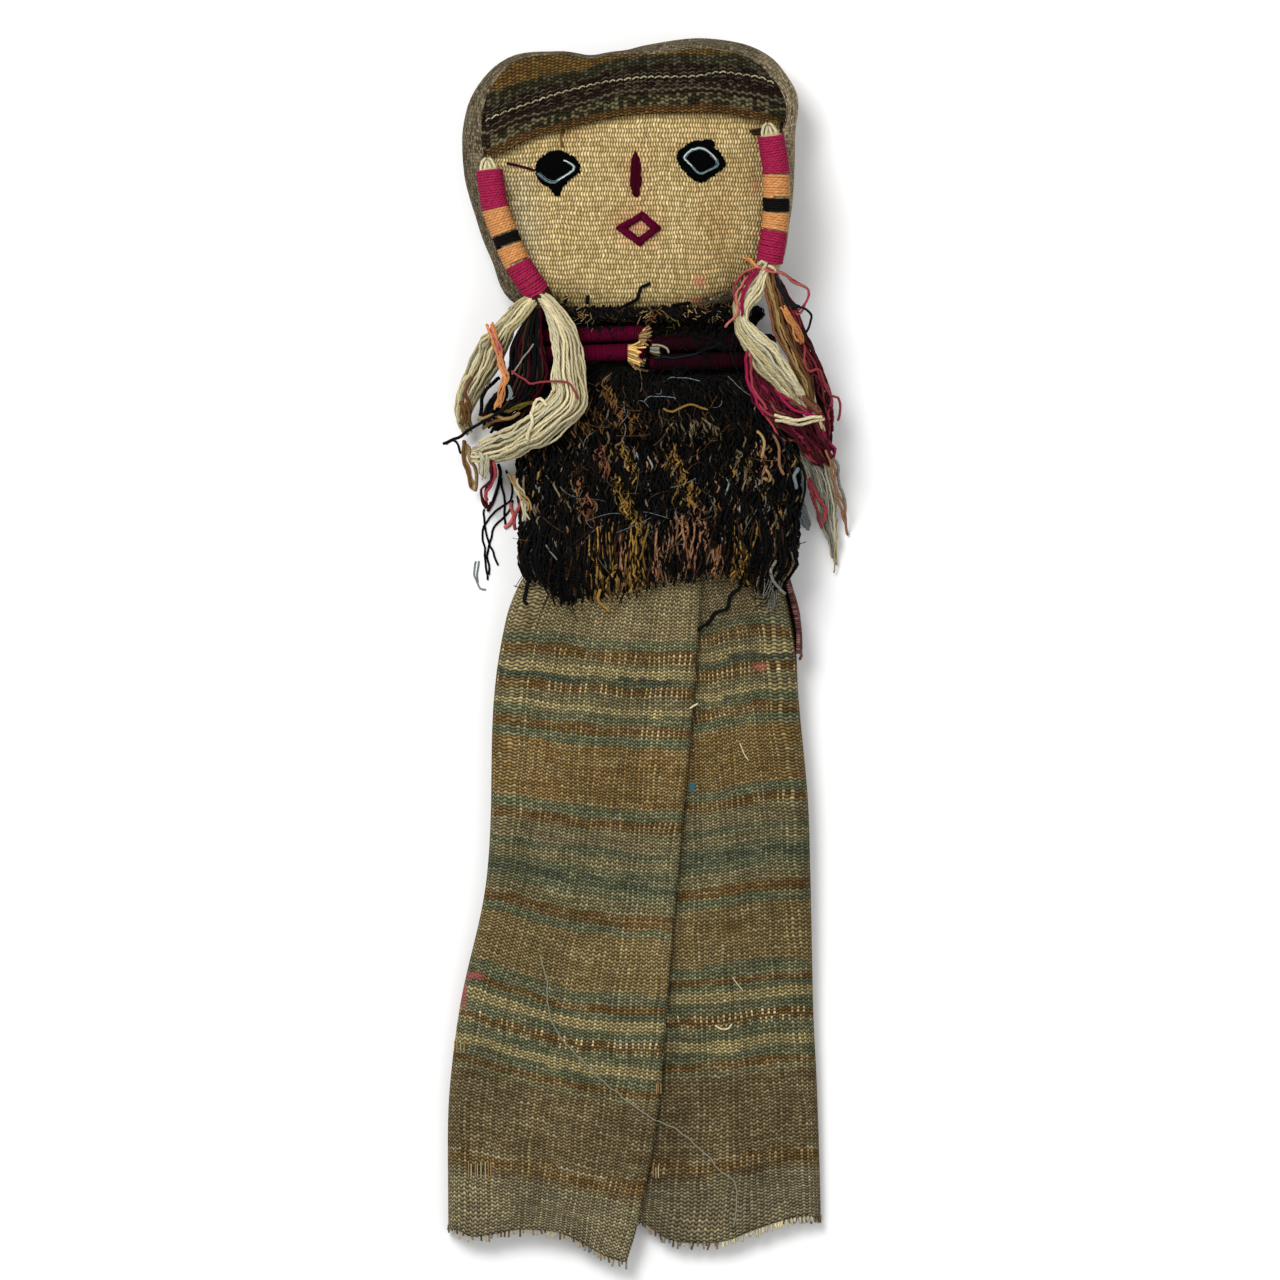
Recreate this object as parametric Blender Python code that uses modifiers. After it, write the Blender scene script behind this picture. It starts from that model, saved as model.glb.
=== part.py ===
"""A cloth doll with a stuffed head, two wrapped side braids, a dark pile shawl and a
wrapped striped skirt, lying on its back.

Metres, +Z up. The doll lies face up with its head towards +Y. The origin is at the
middle of the underside.
"""

import math

import bmesh
import bpy
from mathutils import Vector

MM = 0.001
COLLECTION_NAME = "cloth_doll"

# Gaps between pieces that touch
GAP = 0.3 * MM
CLEARANCE = 0.5 * MM
TRUNK_CLEARANCE = 1.2 * MM

# Cloth thicknesses
HOOD_CLOTH = 1.2 * MM
BAND_CLOTH = 1.0 * MM
SKIRT_CLOTH = 1.2 * MM
STRIP_CLOTH = 1.0 * MM

# The stuffed head is a pillow whose outline is given in polar form about its middle
HEAD_CENTRE = (-3.5 * MM, 122.0 * MM)
HEAD_HALF_DEPTH = 13.0 * MM
HEAD_MID_HEIGHT = HEAD_HALF_DEPTH + HOOD_CLOTH + GAP
HEAD_FLATNESS = 3.0
HEAD_EDGE_ROUNDNESS = 2.2
HEAD_COLUMNS = 40
HEAD_RINGS = 8
HEAD_OUTLINE = (
    (0, 43.0), (15, 44.8), (30, 49.4), (42, 48.8), (60, 42.6), (75, 37.4),
    (90, 34.1), (105, 33.9), (120, 38.7), (135, 44.8), (150, 46.4), (165, 44.6),
    (180, 42.4), (195, 40.8), (210, 41.1), (225, 43.6), (240, 40.0), (255, 38.5),
    (270, 38.0), (285, 38.5), (300, 40.5), (315, 43.0), (330, 45.2), (345, 43.3),
)

# The hood is sewn to the face along a seam near the rim, as a share of the outline
HOOD_SEAM = (
    (0, 0.955), (33, 0.94), (57, 0.94), (74, 0.925), (88, 0.97), (100, 0.985),
    (132, 0.975), (145, 0.945), (165, 0.90), (185, 0.89), (225, 0.90), (270, 0.93),
    (315, 0.93), (340, 0.95),
)
HOOD_LOWER_EDGE = 90.4 * MM
HOOD_LIP_ROWS = 3

# The striped band across the forehead
BAND_LEFT_ANGLE = 167
BAND_RIGHT_ANGLE = 21
BAND_LOWER_EDGE = (
    (-39.3, 128.3), (-35.1, 129.5), (-29.1, 132.6), (-20.3, 135.0), (-7.5, 138.1),
    (4.0, 139.2), (19.0, 139.4), (26.8, 138.2), (34.0, 137.2),
)
BAND_COLUMNS = 18
BAND_ROWS = 5
BAND_STAND_OFF = 0.7 * MM

# The stitched features stand on the face cloth
STITCH_RISE = 0.8 * MM
EYE_THREAD_RADIUS = 0.4 * MM
MOUTH_THREAD_RADIUS = 0.8 * MM
LEFT_EYE = (-21.8, 125.3)
LEFT_EYE_OUTLINE = (
    (-5.5, 0.9), (-0.5, 4.2), (2.6, 3.7), (5.7, -0.3), (2.6, -3.1), (0.2, -7.3),
    (-0.6, -4.0), (-4.2, -3.1),
)
LEFT_EYE_THREAD = (
    (2.6, 1.8), (4.2, 0.3), (2.9, -1.8), (0.2, -3.2), (-2.3, -2.9), (-4.2, -1.3),
)
RIGHT_EYE = (15.1, 126.5)
RIGHT_EYE_OUTLINE = (
    (-6.0, 1.3), (-1.8, 5.1), (2.1, 6.1), (6.4, -0.3), (3.9, -3.1), (-0.3, -5.1),
    (-3.4, -2.5),
)
RIGHT_EYE_THREAD = ((0.4, 3.6), (4.0, 1.3), (4.3, -0.6), (0.4, -3.1), (-3.6, 1.1))
NOSE = (-1.7, 123.5)
NOSE_OUTLINE = (
    (0.0, 6.0), (1.2, 3.2), (1.4, -2.0), (0.6, -6.0), (-0.7, -5.6), (-1.4, -2.0),
    (-1.2, 3.2),
)
MOUTH = (-0.9, 109.3)
MOUTH_OUTLINE = ((-4.9, 0.2), (0.9, 3.8), (4.9, 0.1), (0.2, -3.8))

# The braids: a core of yarns bound with five wraps of coloured yarn
BRAID_RADIUS = 3.6 * MM
BRAID_CORE_RADIUS = 2.1 * MM
WRAP_SIDES = 8
WRAP_EDGE = 0.5 * MM
LEFT_BRAID = ((-40.0, 126.6), (-39.3, 122.0), (-38.0, 114.4), (-35.4, 107.4), (-32.2, 100.1),
              (-27.6, 93.1), (-25.9, 89.6))
RIGHT_BRAID = ((32.8, 136.4), (33.4, 133.0), (34.8, 123.5), (34.8, 114.0), (34.3, 108.7),
               (33.0, 100.4), (32.4, 97.0))
LEFT_WRAPS = (
    ("magenta_top", 124.6, 114.6), ("orange_upper", 114.6, 108.0), ("black", 108.0, 105.0),
    ("orange_lower", 105.0, 100.2), ("magenta_bottom", 100.2, 92.8),
)
RIGHT_WRAPS = (
    ("magenta_top", 133.6, 123.3), ("orange_upper", 123.3, 117.4), ("black", 117.4, 113.7),
    ("orange_lower", 113.7, 108.8), ("magenta_bottom", 108.8, 100.5),
)

# Locks of the tassels: x, y, z, half width and half height in millimetres
LEFT_LOCKS = (
    ((-26.0, 90.2, 29.0, 2.2, 2.0), (-25.0, 87.0, 30.5, 3.6, 2.6), (-21.6, 80.5, 31.0, 4.4, 3.0),
     (-18.6, 73.0, 31.5, 5.0, 3.2), (-17.2, 67.0, 32.5, 5.6, 3.2), (-20.0, 61.5, 32.8, 5.8, 3.2),
     (-29.5, 56.8, 30.0, 4.8, 3.2), (-37.2, 53.5, 20.5, 4.4, 3.2), (-42.5, 51.5, 10.5, 3.4, 2.8),
     (-45.2, 53.0, 7.5, 1.2, 1.2)),
    ((-26.8, 90.0, 29.0, 1.8, 1.8), (-31.5, 86.5, 28.5, 3.0, 2.4), (-35.0, 83.2, 25.0, 3.8, 2.6),
     (-38.4, 77.0, 19.5, 4.6, 2.8), (-41.5, 71.0, 14.0, 4.4, 2.8), (-44.8, 65.5, 9.5, 3.4, 2.6),
     (-45.6, 60.0, 7.0, 3.2, 2.6), (-44.6, 54.0, 5.0, 2.4, 2.2), (-45.0, 46.0, 3.2, 1.6, 1.4),
     (-44.6, 41.0, 2.2, 0.8, 0.8)),
)
RIGHT_LOCKS = (
    ((32.2, 97.4, 28.5, 2.0, 2.0), (29.0, 92.0, 30.0, 3.6, 2.6), (25.6, 86.4, 31.0, 3.2, 2.6),
     (29.5, 80.0, 30.5, 4.2, 2.8), (35.0, 72.5, 29.5, 4.6, 2.8), (39.5, 66.0, 26.5, 3.2, 2.4),
     (41.5, 62.5, 24.5, 1.2, 1.2)),
    ((32.6, 97.4, 28.5, 2.0, 2.0), (35.6, 91.0, 28.8, 3.6, 2.6), (38.0, 83.0, 27.0, 3.6, 2.6),
     (41.0, 74.0, 23.0, 3.0, 2.4), (43.0, 64.0, 18.0, 3.0, 2.2), (44.0, 58.0, 15.0, 2.4, 2.0)),
    ((28.0, 83.5, 28.0, 1.4, 1.4), (30.4, 74.0, 28.0, 3.6, 2.2), (34.0, 65.0, 27.6, 4.6, 2.4),
     (42.0, 58.5, 24.5, 4.2, 2.6), (46.0, 51.0, 13.5, 4.2, 2.6), (46.4, 42.0, 7.0, 3.6, 2.4),
     (47.6, 34.0, 4.2, 2.6, 2.0), (49.8, 27.0, 2.4, 0.9, 0.9)),
    ((41.0, 76.0, 22.0, 1.6, 1.6), (46.0, 70.0, 17.0, 1.8, 1.8), (49.2, 62.0, 12.0, 1.6, 1.6),
     (47.0, 55.0, 11.0, 1.4, 1.4)),
)
LOCK_SIDES = 8

# Sections of the trunk, from the neck down: y, left, right, back and front in millimetres
NECK_SECTIONS = (
    (95.0, -17.0, 14.0, 10.5, 18.0), (89.0, -19.0, 18.0, 9.0, 19.0), (84.0, -20.5, 21.5, 8.6, 19.2),
    (73.0, -20.5, 24.0, 8.6, 19.2), (70.5, -22.5, 27.5, 6.8, 20.4), (66.0, -25.5, 32.5, 4.6, 21.6),
    (58.0, -27.5, 35.6, 4.2, 21.8), (45.0, -27.0, 35.4, 4.2, 21.4), (36.0, -25.6, 34.0, 4.2, 20.0),
)
SHAWL_OUTER = (
    (89.0, -33.5, 30.0, 3.0, 26.5), (87.4, -32.8, 30.4, 2.4, 28.0), (85.8, -29.0, 29.2, 3.4, 27.0),
    (84.8, -26.0, 28.4, 5.2, 23.2), (72.3, -26.0, 30.4, 5.2, 23.2), (70.8, -28.5, 33.4, 2.8, 26.0),
    (66.0, -30.2, 37.2, 0.6, 28.4), (58.5, -31.6, 39.8, 0.0, 30.6), (55.5, -31.8, 40.2, 0.0, 31.0),
    (54.0, -31.2, 39.8, 0.0, 28.4), (45.0, -30.8, 39.6, 0.0, 28.6), (35.0, -30.4, 39.4, 0.0, 27.4),
    (27.0, -30.4, 38.9, 0.0, 26.4), (23.0, -30.4, 38.7, 0.0, 25.8),
)
SHAWL_INNER = (
    (89.0, -31.0, 27.6, 5.2, 23.6), (86.5, -28.0, 25.2, 7.0, 21.4), (84.6, -23.2, 23.6, 7.8, 20.2),
    (72.5, -22.0, 26.0, 7.6, 20.2), (70.5, -24.5, 29.6, 5.6, 21.6), (66.0, -27.2, 34.2, 3.4, 23.0),
    (58.0, -28.8, 37.0, 2.8, 23.2), (45.0, -28.4, 36.8, 2.6, 23.0), (35.0, -28.5, 36.9, 1.7, 23.6),
    (23.0, -28.7, 37.1, 1.7, 23.6),
)

# A section is an oblong: flat at the back, half-round sides, a crowned front
SIDE_SHARE = 0.43
CROWN_SHARE = 0.14
FRONT_POINTS = 4
FOLD_POINTS = 5
BACK_POINTS = 5

# The two magenta cords lie in the groove of the shawl: radius, and y at the left and right end
NECK_CORDS = (("upper_neck_cord", 2.1, 82.3, 79.4), ("lower_neck_cord", 2.3, 77.5, 74.6))
NECK_CORD_GROOVE = (-26.0, 30.4, 5.2, 23.2)
NECK_CORD_LEFT_END = 0.4
NECK_CORD_RIGHT_END = 2.6
NECK_CORD_SIDES = 7

# The skirt is one cloth wrapped round the trunk, its free edge over its inner edge
SKIRT_OVERLAP = ((34.0, 30.0), (-160.0, 22.0))
SKIRT_LEVELS = (33.0, 27.0, 22.0, 17.0, 10.0, 1.0, -15.0, -35.0, -55.0, -75.0, -95.0, -115.0,
                -134.0, -150.5)
SKIRT_LAYER = (SKIRT_CLOTH + GAP) / MM
SKIRT_LIFT = ((34.0, 2.3), (18.0, 2.3), (6.0, 0.0), (-160.0, 0.0))
SKIRT_LEFT = (
    (34.0, -27.0), (24.0, -27.6), (17.5, -31.8), (8.0, -35.4), (-13.0, -38.6), (-48.0, -39.6),
    (-65.0, -41.3), (-91.0, -47.1), (-112.0, -49.9), (-127.0, -50.6), (-160.0, -50.4),
)
SKIRT_RIGHT = (
    (34.0, 35.0), (20.0, 36.4), (3.0, 39.8), (-13.0, 40.8), (-39.0, 43.2), (-60.0, 43.9),
    (-96.0, 44.7), (-112.0, 45.5), (-143.0, 46.5), (-160.0, 46.6),
)
SKIRT_FREE_EDGE = (
    (34.0, 15.8), (20.0, 15.6), (-15.0, 13.3), (-72.0, 8.1), (-120.0, 4.2), (-149.0, -1.0),
    (-160.0, -4.2),
)
SKIRT_FOLD_RADIUS = (
    (34.0, 8.0), (10.0, 8.0), (-20.0, 7.0), (-60.0, 5.4), (-100.0, 3.8), (-130.0, 2.9),
    (-160.0, 2.5),
)
SKIRT_CROWN = ((34.0, 1.5), (0.0, 2.2), (-60.0, 2.0), (-110.0, 1.0), (-160.0, 0.4))
SKIRT_FRONT_POINTS = 6
PANEL_DROOP_TOP = 5.0
PANEL_DROOP_HEM = 9.6
RIGHT_PANEL_DROOP = 0.3
TRUNK_CROWN_SHARE = 0.7
TRUNK_TIP = 3.0
TRUNK_LEVELS = (30.0, 25.0, 20.0, 15.0, 6.0, -10.0, -35.0, -65.0, -95.0)

# A narrow dark strip of cloth hangs at the right side, behind the skirt
STRIP_TOP = 22.4
STRIP_END = -1.0
STRIP_LOW_ANGLE = -52.0
STRIP_HIGH_ANGLE = 22.0
STRIP_ROWS = 5
STRIP_COLUMNS = 5
STRIP_FLARE = 0.9

# Colours as red, green, blue and roughness
FINISHES = {
    "face_cloth": (0.44, 0.32, 0.13, 0.85),
    "hood_cloth": (0.13, 0.10, 0.06, 0.9),
    "band_cloth": (0.06, 0.04, 0.015, 0.9),
    "black_yarn": (0.006, 0.006, 0.006, 0.8),
    "white_yarn": (0.55, 0.52, 0.42, 0.8),
    "magenta_yarn": (0.30, 0.02, 0.06, 0.8),
    "dark_magenta_yarn": (0.05, 0.003, 0.010, 0.85),
    "orange_yarn": (0.57, 0.25, 0.08, 0.8),
    "cream_yarn": (0.41, 0.35, 0.21, 0.8),
    "dark_pile": (0.012, 0.009, 0.006, 0.95),
    "skirt_cloth": (0.15, 0.11, 0.05, 0.9),
    "dark_cloth": (0.05, 0.02, 0.018, 0.9),
}


def smooth_value(stations, at, period=None):
    """The value at one place on a smooth curve through (place, value) stations."""
    places = [station[0] for station in stations]
    values = [station[1] for station in stations]
    if places[0] > places[-1]:
        places.reverse()
        values.reverse()
    if period:
        at = at % period
        places = [places[-1] - period] + places + [places[0] + period, places[1] + period]
        values = [values[-1]] + values + [values[0], values[1]]
    at = min(max(at, places[0]), places[-1])
    last = len(places) - 1
    index = 0
    while index < last - 1 and at > places[index + 1]:
        index += 1

    def slope(k):
        low = max(k - 1, 0)
        high = min(k + 1, last)
        turns_back = (values[k] - values[low]) * (values[high] - values[k]) <= 0.0
        if 0 < k < last and turns_back:
            return 0.0
        return (values[high] - values[low]) / (places[high] - places[low])

    span = places[index + 1] - places[index]
    t = (at - places[index]) / span
    blend = t * t * (3.0 - 2.0 * t)
    start_pull = t * (1.0 - t) * (1.0 - t) * span * slope(index)
    end_pull = t * t * (t - 1.0) * span * slope(index + 1)
    return values[index] * (1.0 - blend) + values[index + 1] * blend + start_pull + end_pull


def head_radius(angle):
    """Distance from the middle of the head to its hooded outline, angle in degrees."""
    return smooth_value(HEAD_OUTLINE, angle, 360) * MM


def head_point(angle, share, side, offset):
    """A point on the pillow of the head: share 0 at the pole, 1 at the rim."""
    radius = head_radius(angle) - HOOD_CLOTH - GAP + offset
    rise = max(0.0, 1.0 - share ** HEAD_FLATNESS) ** (1.0 / HEAD_EDGE_ROUNDNESS)
    x = HEAD_CENTRE[0] + share * radius * math.cos(math.radians(angle))
    y = HEAD_CENTRE[1] + share * radius * math.sin(math.radians(angle))
    return Vector((x, y, HEAD_MID_HEIGHT + side * (HEAD_HALF_DEPTH + offset) * rise))


def on_face(x, y, offset):
    """The point of the face cloth above x, y, raised by an offset."""
    dx = x - HEAD_CENTRE[0]
    dy = y - HEAD_CENTRE[1]
    angle = math.degrees(math.atan2(dy, dx))
    share = math.hypot(dx, dy) / (head_radius(angle) - HOOD_CLOTH - GAP + offset)
    return head_point(angle, min(share, 1.0), 1, offset)


def make_material(finish):
    """A plain material with the finish's colour and roughness."""
    red, green, blue, roughness = FINISHES[finish]
    material = bpy.data.materials.get(finish) or bpy.data.materials.new(finish)
    material.use_nodes = True
    shader = material.node_tree.nodes["Principled BSDF"]
    shader.inputs["Base Color"].default_value = (red, green, blue, 1.0)
    shader.inputs["Roughness"].default_value = roughness
    shader.inputs["Metallic"].default_value = 0.0
    return material


def add_object(name, mesh, finish, collection):
    """Put a mesh in the scene as a named piece with its material."""
    piece = bpy.data.objects.new(name, mesh)
    collection.objects.link(piece)
    mesh.materials.append(make_material(finish))
    for polygon in mesh.polygons:
        polygon.use_smooth = True
    mesh.set_sharp_from_angle(angle=math.radians(50))
    return piece


def loft(name, rows, around=True, caps=False, closed=False):
    """A mesh through rows of points: rows may close round, be capped, or close on themselves."""
    mesh = bpy.data.meshes.new(name)
    shape = bmesh.new()
    rings = [[shape.verts.new(point) for point in row] for row in rows]
    count = len(rings[0])
    steps = count if around else count - 1
    links = len(rings) if closed else len(rings) - 1
    for i in range(links):
        ring = rings[i]
        following = rings[(i + 1) % len(rings)]
        for j in range(steps):
            k = (j + 1) % count
            shape.faces.new((ring[j], ring[k], following[k], following[j]))
    if caps:
        shape.faces.new(list(reversed(rings[0])))
        shape.faces.new(rings[-1])
    bmesh.ops.remove_doubles(shape, verts=shape.verts, dist=0.00001)
    bmesh.ops.recalc_face_normals(shape, faces=shape.faces)
    shape.to_mesh(mesh)
    shape.free()
    return mesh


def thicken(piece, thickness, outward):
    """Give an open cloth surface its thickness."""
    solidify = piece.modifiers.new("Cloth", "SOLIDIFY")
    solidify.thickness = thickness
    solidify.offset = 1.0 if outward else -1.0
    solidify.use_even_offset = True


def join(piece, other_mesh):
    """Unite another closed mesh with a piece and keep the result in its mesh."""
    other = bpy.data.objects.new("other", other_mesh)
    bpy.context.scene.collection.objects.link(other)
    union = piece.modifiers.new("Join", "BOOLEAN")
    union.operation = "UNION"
    union.solver = "EXACT"
    union.object = other
    evaluated = piece.evaluated_get(bpy.context.evaluated_depsgraph_get())
    joined = bpy.data.meshes.new_from_object(evaluated)
    piece.modifiers.remove(union)
    piece.data = joined
    bpy.data.objects.remove(other)


def oval_tube(stations, sides):
    """Rings of a tube with oval sections: stations of x, y, z, half width, half height."""
    points = [Vector(station[:3]) * MM for station in stations]
    rows = []
    for i, station in enumerate(stations):
        ahead = points[min(i + 1, len(points) - 1)]
        behind = points[max(i - 1, 0)]
        along = (ahead - behind).normalized()
        across = along.cross(Vector((0, 0, 1))).normalized()
        up = across.cross(along)
        row = []
        for j in range(sides):
            turn = math.tau * j / sides
            sideways = across * (station[3] * MM * math.cos(turn))
            row.append(points[i] + sideways + up * (station[4] * MM * math.sin(turn)))
        rows.append(row)
    return rows


def braid_point(route, y):
    """The braid's axis at one y (in millimetres), resting on the face and the hood."""
    x = smooth_value([(place[1], place[0]) for place in route], y) * MM
    lift = HOOD_CLOTH + 2.0 * GAP + BRAID_RADIUS
    return Vector((x, y * MM, on_face(x, y * MM, lift).z))


def braid_frame(route, y):
    """Two directions square to the braid's axis at one y."""
    along = (braid_point(route, y - 0.5) - braid_point(route, y + 0.5)).normalized()
    across = along.cross(Vector((0, 0, 1))).normalized()
    return across, across.cross(along)


def braid_ring(route, y, radius, sides):
    """One ring of points round the braid's axis."""
    centre = braid_point(route, y)
    across, up = braid_frame(route, y)
    ring = []
    for j in range(sides):
        turn = math.tau * j / sides
        ring.append(centre + across * (radius * math.cos(turn)) + up * (radius * math.sin(turn)))
    return ring


def make_head_and_trunk(collection):
    """The stuffed head and the trunk that carries the clothes, as one padded solid."""
    rows = []
    for side in (-1, 1):
        shares = [math.sin(math.radians(90.0 * k / HEAD_RINGS)) for k in range(HEAD_RINGS + 1)]
        if side > 0:
            shares = list(reversed(shares))[1:]
        for share in shares:
            share = max(share, 0.001)
            row = []
            for j in range(HEAD_COLUMNS):
                row.append(head_point(360.0 * j / HEAD_COLUMNS, share, side, 0.0))
            rows.append(row)
    piece = add_object("stuffed_body", loft("head", rows, caps=True), "face_cloth", collection)
    join(piece, loft("trunk", trunk_rings(), caps=True))
    return piece


def wrap_path(left, right, back, side, crown, start, end, layer=0.0, steps=FRONT_POINTS):
    """A cloth's path round an oblong, as x and z: from a start on the front to the left, round
    the back and up the right side to an end on the front. The start lies one layer higher."""
    left_start = left + side
    right_start = right - side
    middle = (left_start + right_start) / 2.0
    half = (right_start - left_start) / 2.0

    def front(x):
        share = min(1.0, abs(x - middle) / half)
        return back + 2.0 * side + crown * (1.0 - share * share) ** 2

    path = []
    for k in range(steps):
        x = start + (left_start - start) * k / steps
        path.append((x, front(x) + layer))
    rise = side + layer / 2.0
    for k in range(FOLD_POINTS):
        turn = math.pi * (0.5 + k / FOLD_POINTS)
        path.append((left_start + side * math.cos(turn), back + rise + rise * math.sin(turn)))
    for k in range(BACK_POINTS):
        path.append((left_start + 2.0 * half * k / BACK_POINTS, back))
    for k in range(FOLD_POINTS):
        turn = math.pi * (k / FOLD_POINTS - 0.5)
        path.append((right_start + side * math.cos(turn), back + side + side * math.sin(turn)))
    for k in range(steps + 1):
        x = right_start + (end - right_start) * k / steps
        path.append((x, front(x)))
    return path


def oblong_ring(y, left, right, back, side, crown):
    """A closed oblong ring square to Y, sizes in millimetres."""
    middle = (left + right) / 2.0
    path = wrap_path(left, right, back, side, crown, middle, middle)
    return [Vector((x, y, z)) * MM for x, z in path[:-1]]


def section_ring(section):
    """A closed ring for one section: y, left, right, back and front in millimetres."""
    y, left, right, back, front = section
    depth = front - back
    return oblong_ring(y, left, right, back, SIDE_SHARE * depth, CROWN_SHARE * depth)


def trunk_rings():
    """The trunk's rings: the neck and chest, then down inside the skirt to a closed end."""
    rings = [section_ring(section) for section in NECK_SECTIONS]
    inset = (SKIRT_CLOTH + TRUNK_CLEARANCE) / MM
    for y in TRUNK_LEVELS:
        left = smooth_value(SKIRT_LEFT, y) + inset
        right = smooth_value(SKIRT_RIGHT, y) - inset
        back = smooth_value(SKIRT_LIFT, y) + inset
        side = smooth_value(SKIRT_FOLD_RADIUS, y) - inset
        crown = TRUNK_CROWN_SHARE * smooth_value(SKIRT_CROWN, y)
        rings.append(oblong_ring(y, left, right, back, side, crown))
    y -= TRUNK_TIP
    rings.append(oblong_ring(y, left + TRUNK_TIP, right - TRUNK_TIP, back + side / 2.0, side / 2.0, 0.0))
    return rings


def make_hood(collection):
    """The brown cloth over the back and the sides of the head, open at the neck."""
    rows = []
    for k in range(HEAD_RINGS + 1):
        share = max(math.sin(math.radians(90.0 * k / HEAD_RINGS)), 0.001)
        row = []
        for j in range(HEAD_COLUMNS):
            row.append(head_point(360.0 * j / HEAD_COLUMNS, share, -1, GAP))
        rows.append(row)
    for k in range(1, HOOD_LIP_ROWS + 1):
        row = []
        for j in range(HEAD_COLUMNS):
            angle = 360.0 * j / HEAD_COLUMNS
            lip = math.pi / 2.0 - math.asin(smooth_value(HOOD_SEAM, angle, 360))
            row.append(head_point(angle, math.cos(lip * k / HOOD_LIP_ROWS), 1, GAP))
        rows.append(row)
    mesh = loft("hood", rows)
    shape = bmesh.new()
    shape.from_mesh(mesh)
    pole = [edge for edge in shape.edges if edge.is_boundary and edge.verts[0].co.z < HEAD_MID_HEIGHT]
    bmesh.ops.contextual_create(shape, geom=pole)
    geometry = list(shape.verts) + list(shape.edges) + list(shape.faces)
    bmesh.ops.bisect_plane(shape, geom=geometry, plane_co=(0, HOOD_LOWER_EDGE, 0),
                           plane_no=(0, -1, 0), clear_outer=True)
    bmesh.ops.recalc_face_normals(shape, faces=shape.faces)
    shape.to_mesh(mesh)
    shape.free()
    piece = add_object("hood", mesh, "hood_cloth", collection)
    thicken(piece, HOOD_CLOTH, outward=True)
    return piece


def make_forehead_band(collection):
    """The striped cloth between the seam of the hood and the edge across the forehead."""
    rows = []
    for i in range(BAND_ROWS + 1):
        up = i / BAND_ROWS
        row = []
        for j in range(BAND_COLUMNS + 1):
            across = j / BAND_COLUMNS
            place = across * (len(BAND_LOWER_EDGE) - 1)
            low_x = smooth_value([(k, p[0]) for k, p in enumerate(BAND_LOWER_EDGE)], place) * MM
            low_y = smooth_value([(k, p[1]) for k, p in enumerate(BAND_LOWER_EDGE)], place) * MM
            angle = BAND_LEFT_ANGLE + (BAND_RIGHT_ANGLE - BAND_LEFT_ANGLE) * across
            seam = smooth_value(HOOD_SEAM, angle, 360) - 0.5 * MM / head_radius(angle)
            top = head_point(angle, seam, 1, BAND_STAND_OFF)
            x = low_x + (top.x - low_x) * up
            y = low_y + (top.y - low_y) * up
            row.append(on_face(x, y, BAND_STAND_OFF))
        rows.append(row)
    piece = add_object("forehead_band", loft("band", rows, around=False), "band_cloth", collection)
    thicken(piece, BAND_CLOTH, outward=True)
    return piece


def make_patch(name, centre, outline, finish, collection):
    """A raised field of stitches on the face, with the given outline in millimetres."""
    top = []
    base = []
    for x, y in outline:
        place_x = (centre[0] + x) * MM
        place_y = (centre[1] + y) * MM
        point = on_face(place_x, place_y, 0.0)
        base.append(point + Vector((0, 0, CLEARANCE)))
        top.append(point + Vector((0, 0, CLEARANCE + STITCH_RISE)))
    return add_object(name, loft(name, [base, top], caps=True), finish, collection)


def make_face_thread(name, centre, route, radius, rise, ring, finish, collection):
    """A thread laid on the face along a route of points, open or in a ring."""
    points = []
    for x, y in route:
        point = on_face((centre[0] + x) * MM, (centre[1] + y) * MM, 0.0)
        points.append(point + Vector((0, 0, rise + radius)))
    rows = []
    count = len(points)
    for i, point in enumerate(points):
        if ring:
            along = points[(i + 1) % count] - points[i - 1]
        else:
            along = points[min(i + 1, count - 1)] - points[max(i - 1, 0)]
        across = along.normalized().cross(Vector((0, 0, 1))).normalized()
        row = []
        for turn in (0.0, 0.25, 0.5, 0.75):
            sideways = across * (radius * math.cos(math.tau * turn))
            row.append(point + sideways + Vector((0, 0, radius * math.sin(math.tau * turn))))
        rows.append(row)
    mesh = loft(name, rows, caps=not ring, closed=ring)
    return add_object(name, mesh, finish, collection)


def make_wraps(side, route, wraps, collection):
    """The five bands of coloured yarn that bind one braid."""
    inner = BRAID_CORE_RADIUS + GAP
    for colour, upper, lower in wraps:
        start = upper - 0.5 * GAP / MM
        end = lower + 0.5 * GAP / MM
        shoulder = WRAP_EDGE / MM
        profile = (
            (start, inner), (start, BRAID_RADIUS - 0.4 * WRAP_EDGE),
            (start - shoulder, BRAID_RADIUS), (end + shoulder, BRAID_RADIUS),
            (end, BRAID_RADIUS - 0.4 * WRAP_EDGE), (end, inner),
        )
        rows = [braid_ring(route, y, radius, WRAP_SIDES) for y, radius in profile]
        finish = colour.split("_")[0] + "_yarn"
        name = side + "_wrap_" + colour
        add_object(name, loft(name, rows, closed=True), finish, collection)


def make_tassel(name, route, wraps, locks, collection):
    """The yarns that run through the wraps and hang below them in locks."""
    levels = [route[0][1]] + [wrap[1] for wrap in wraps] + [wraps[-1][2], route[-1][1]]
    core = [braid_ring(route, y, BRAID_CORE_RADIUS, LOCK_SIDES) for y in levels]
    piece = add_object(name, loft(name, core, caps=True), "cream_yarn", collection)
    for lock in locks:
        join(piece, loft(name + "_lock", oval_tube(lock, LOCK_SIDES), caps=True))
    return piece


def make_shawl(collection):
    """The dark pile cloth round the neck and chest, with its groove and its ridge."""
    rows = [section_ring(section) for section in SHAWL_OUTER]
    rows += [section_ring(section) for section in reversed(SHAWL_INNER)]
    return add_object("shawl", loft("shawl", rows, closed=True), "dark_pile", collection)


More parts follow.
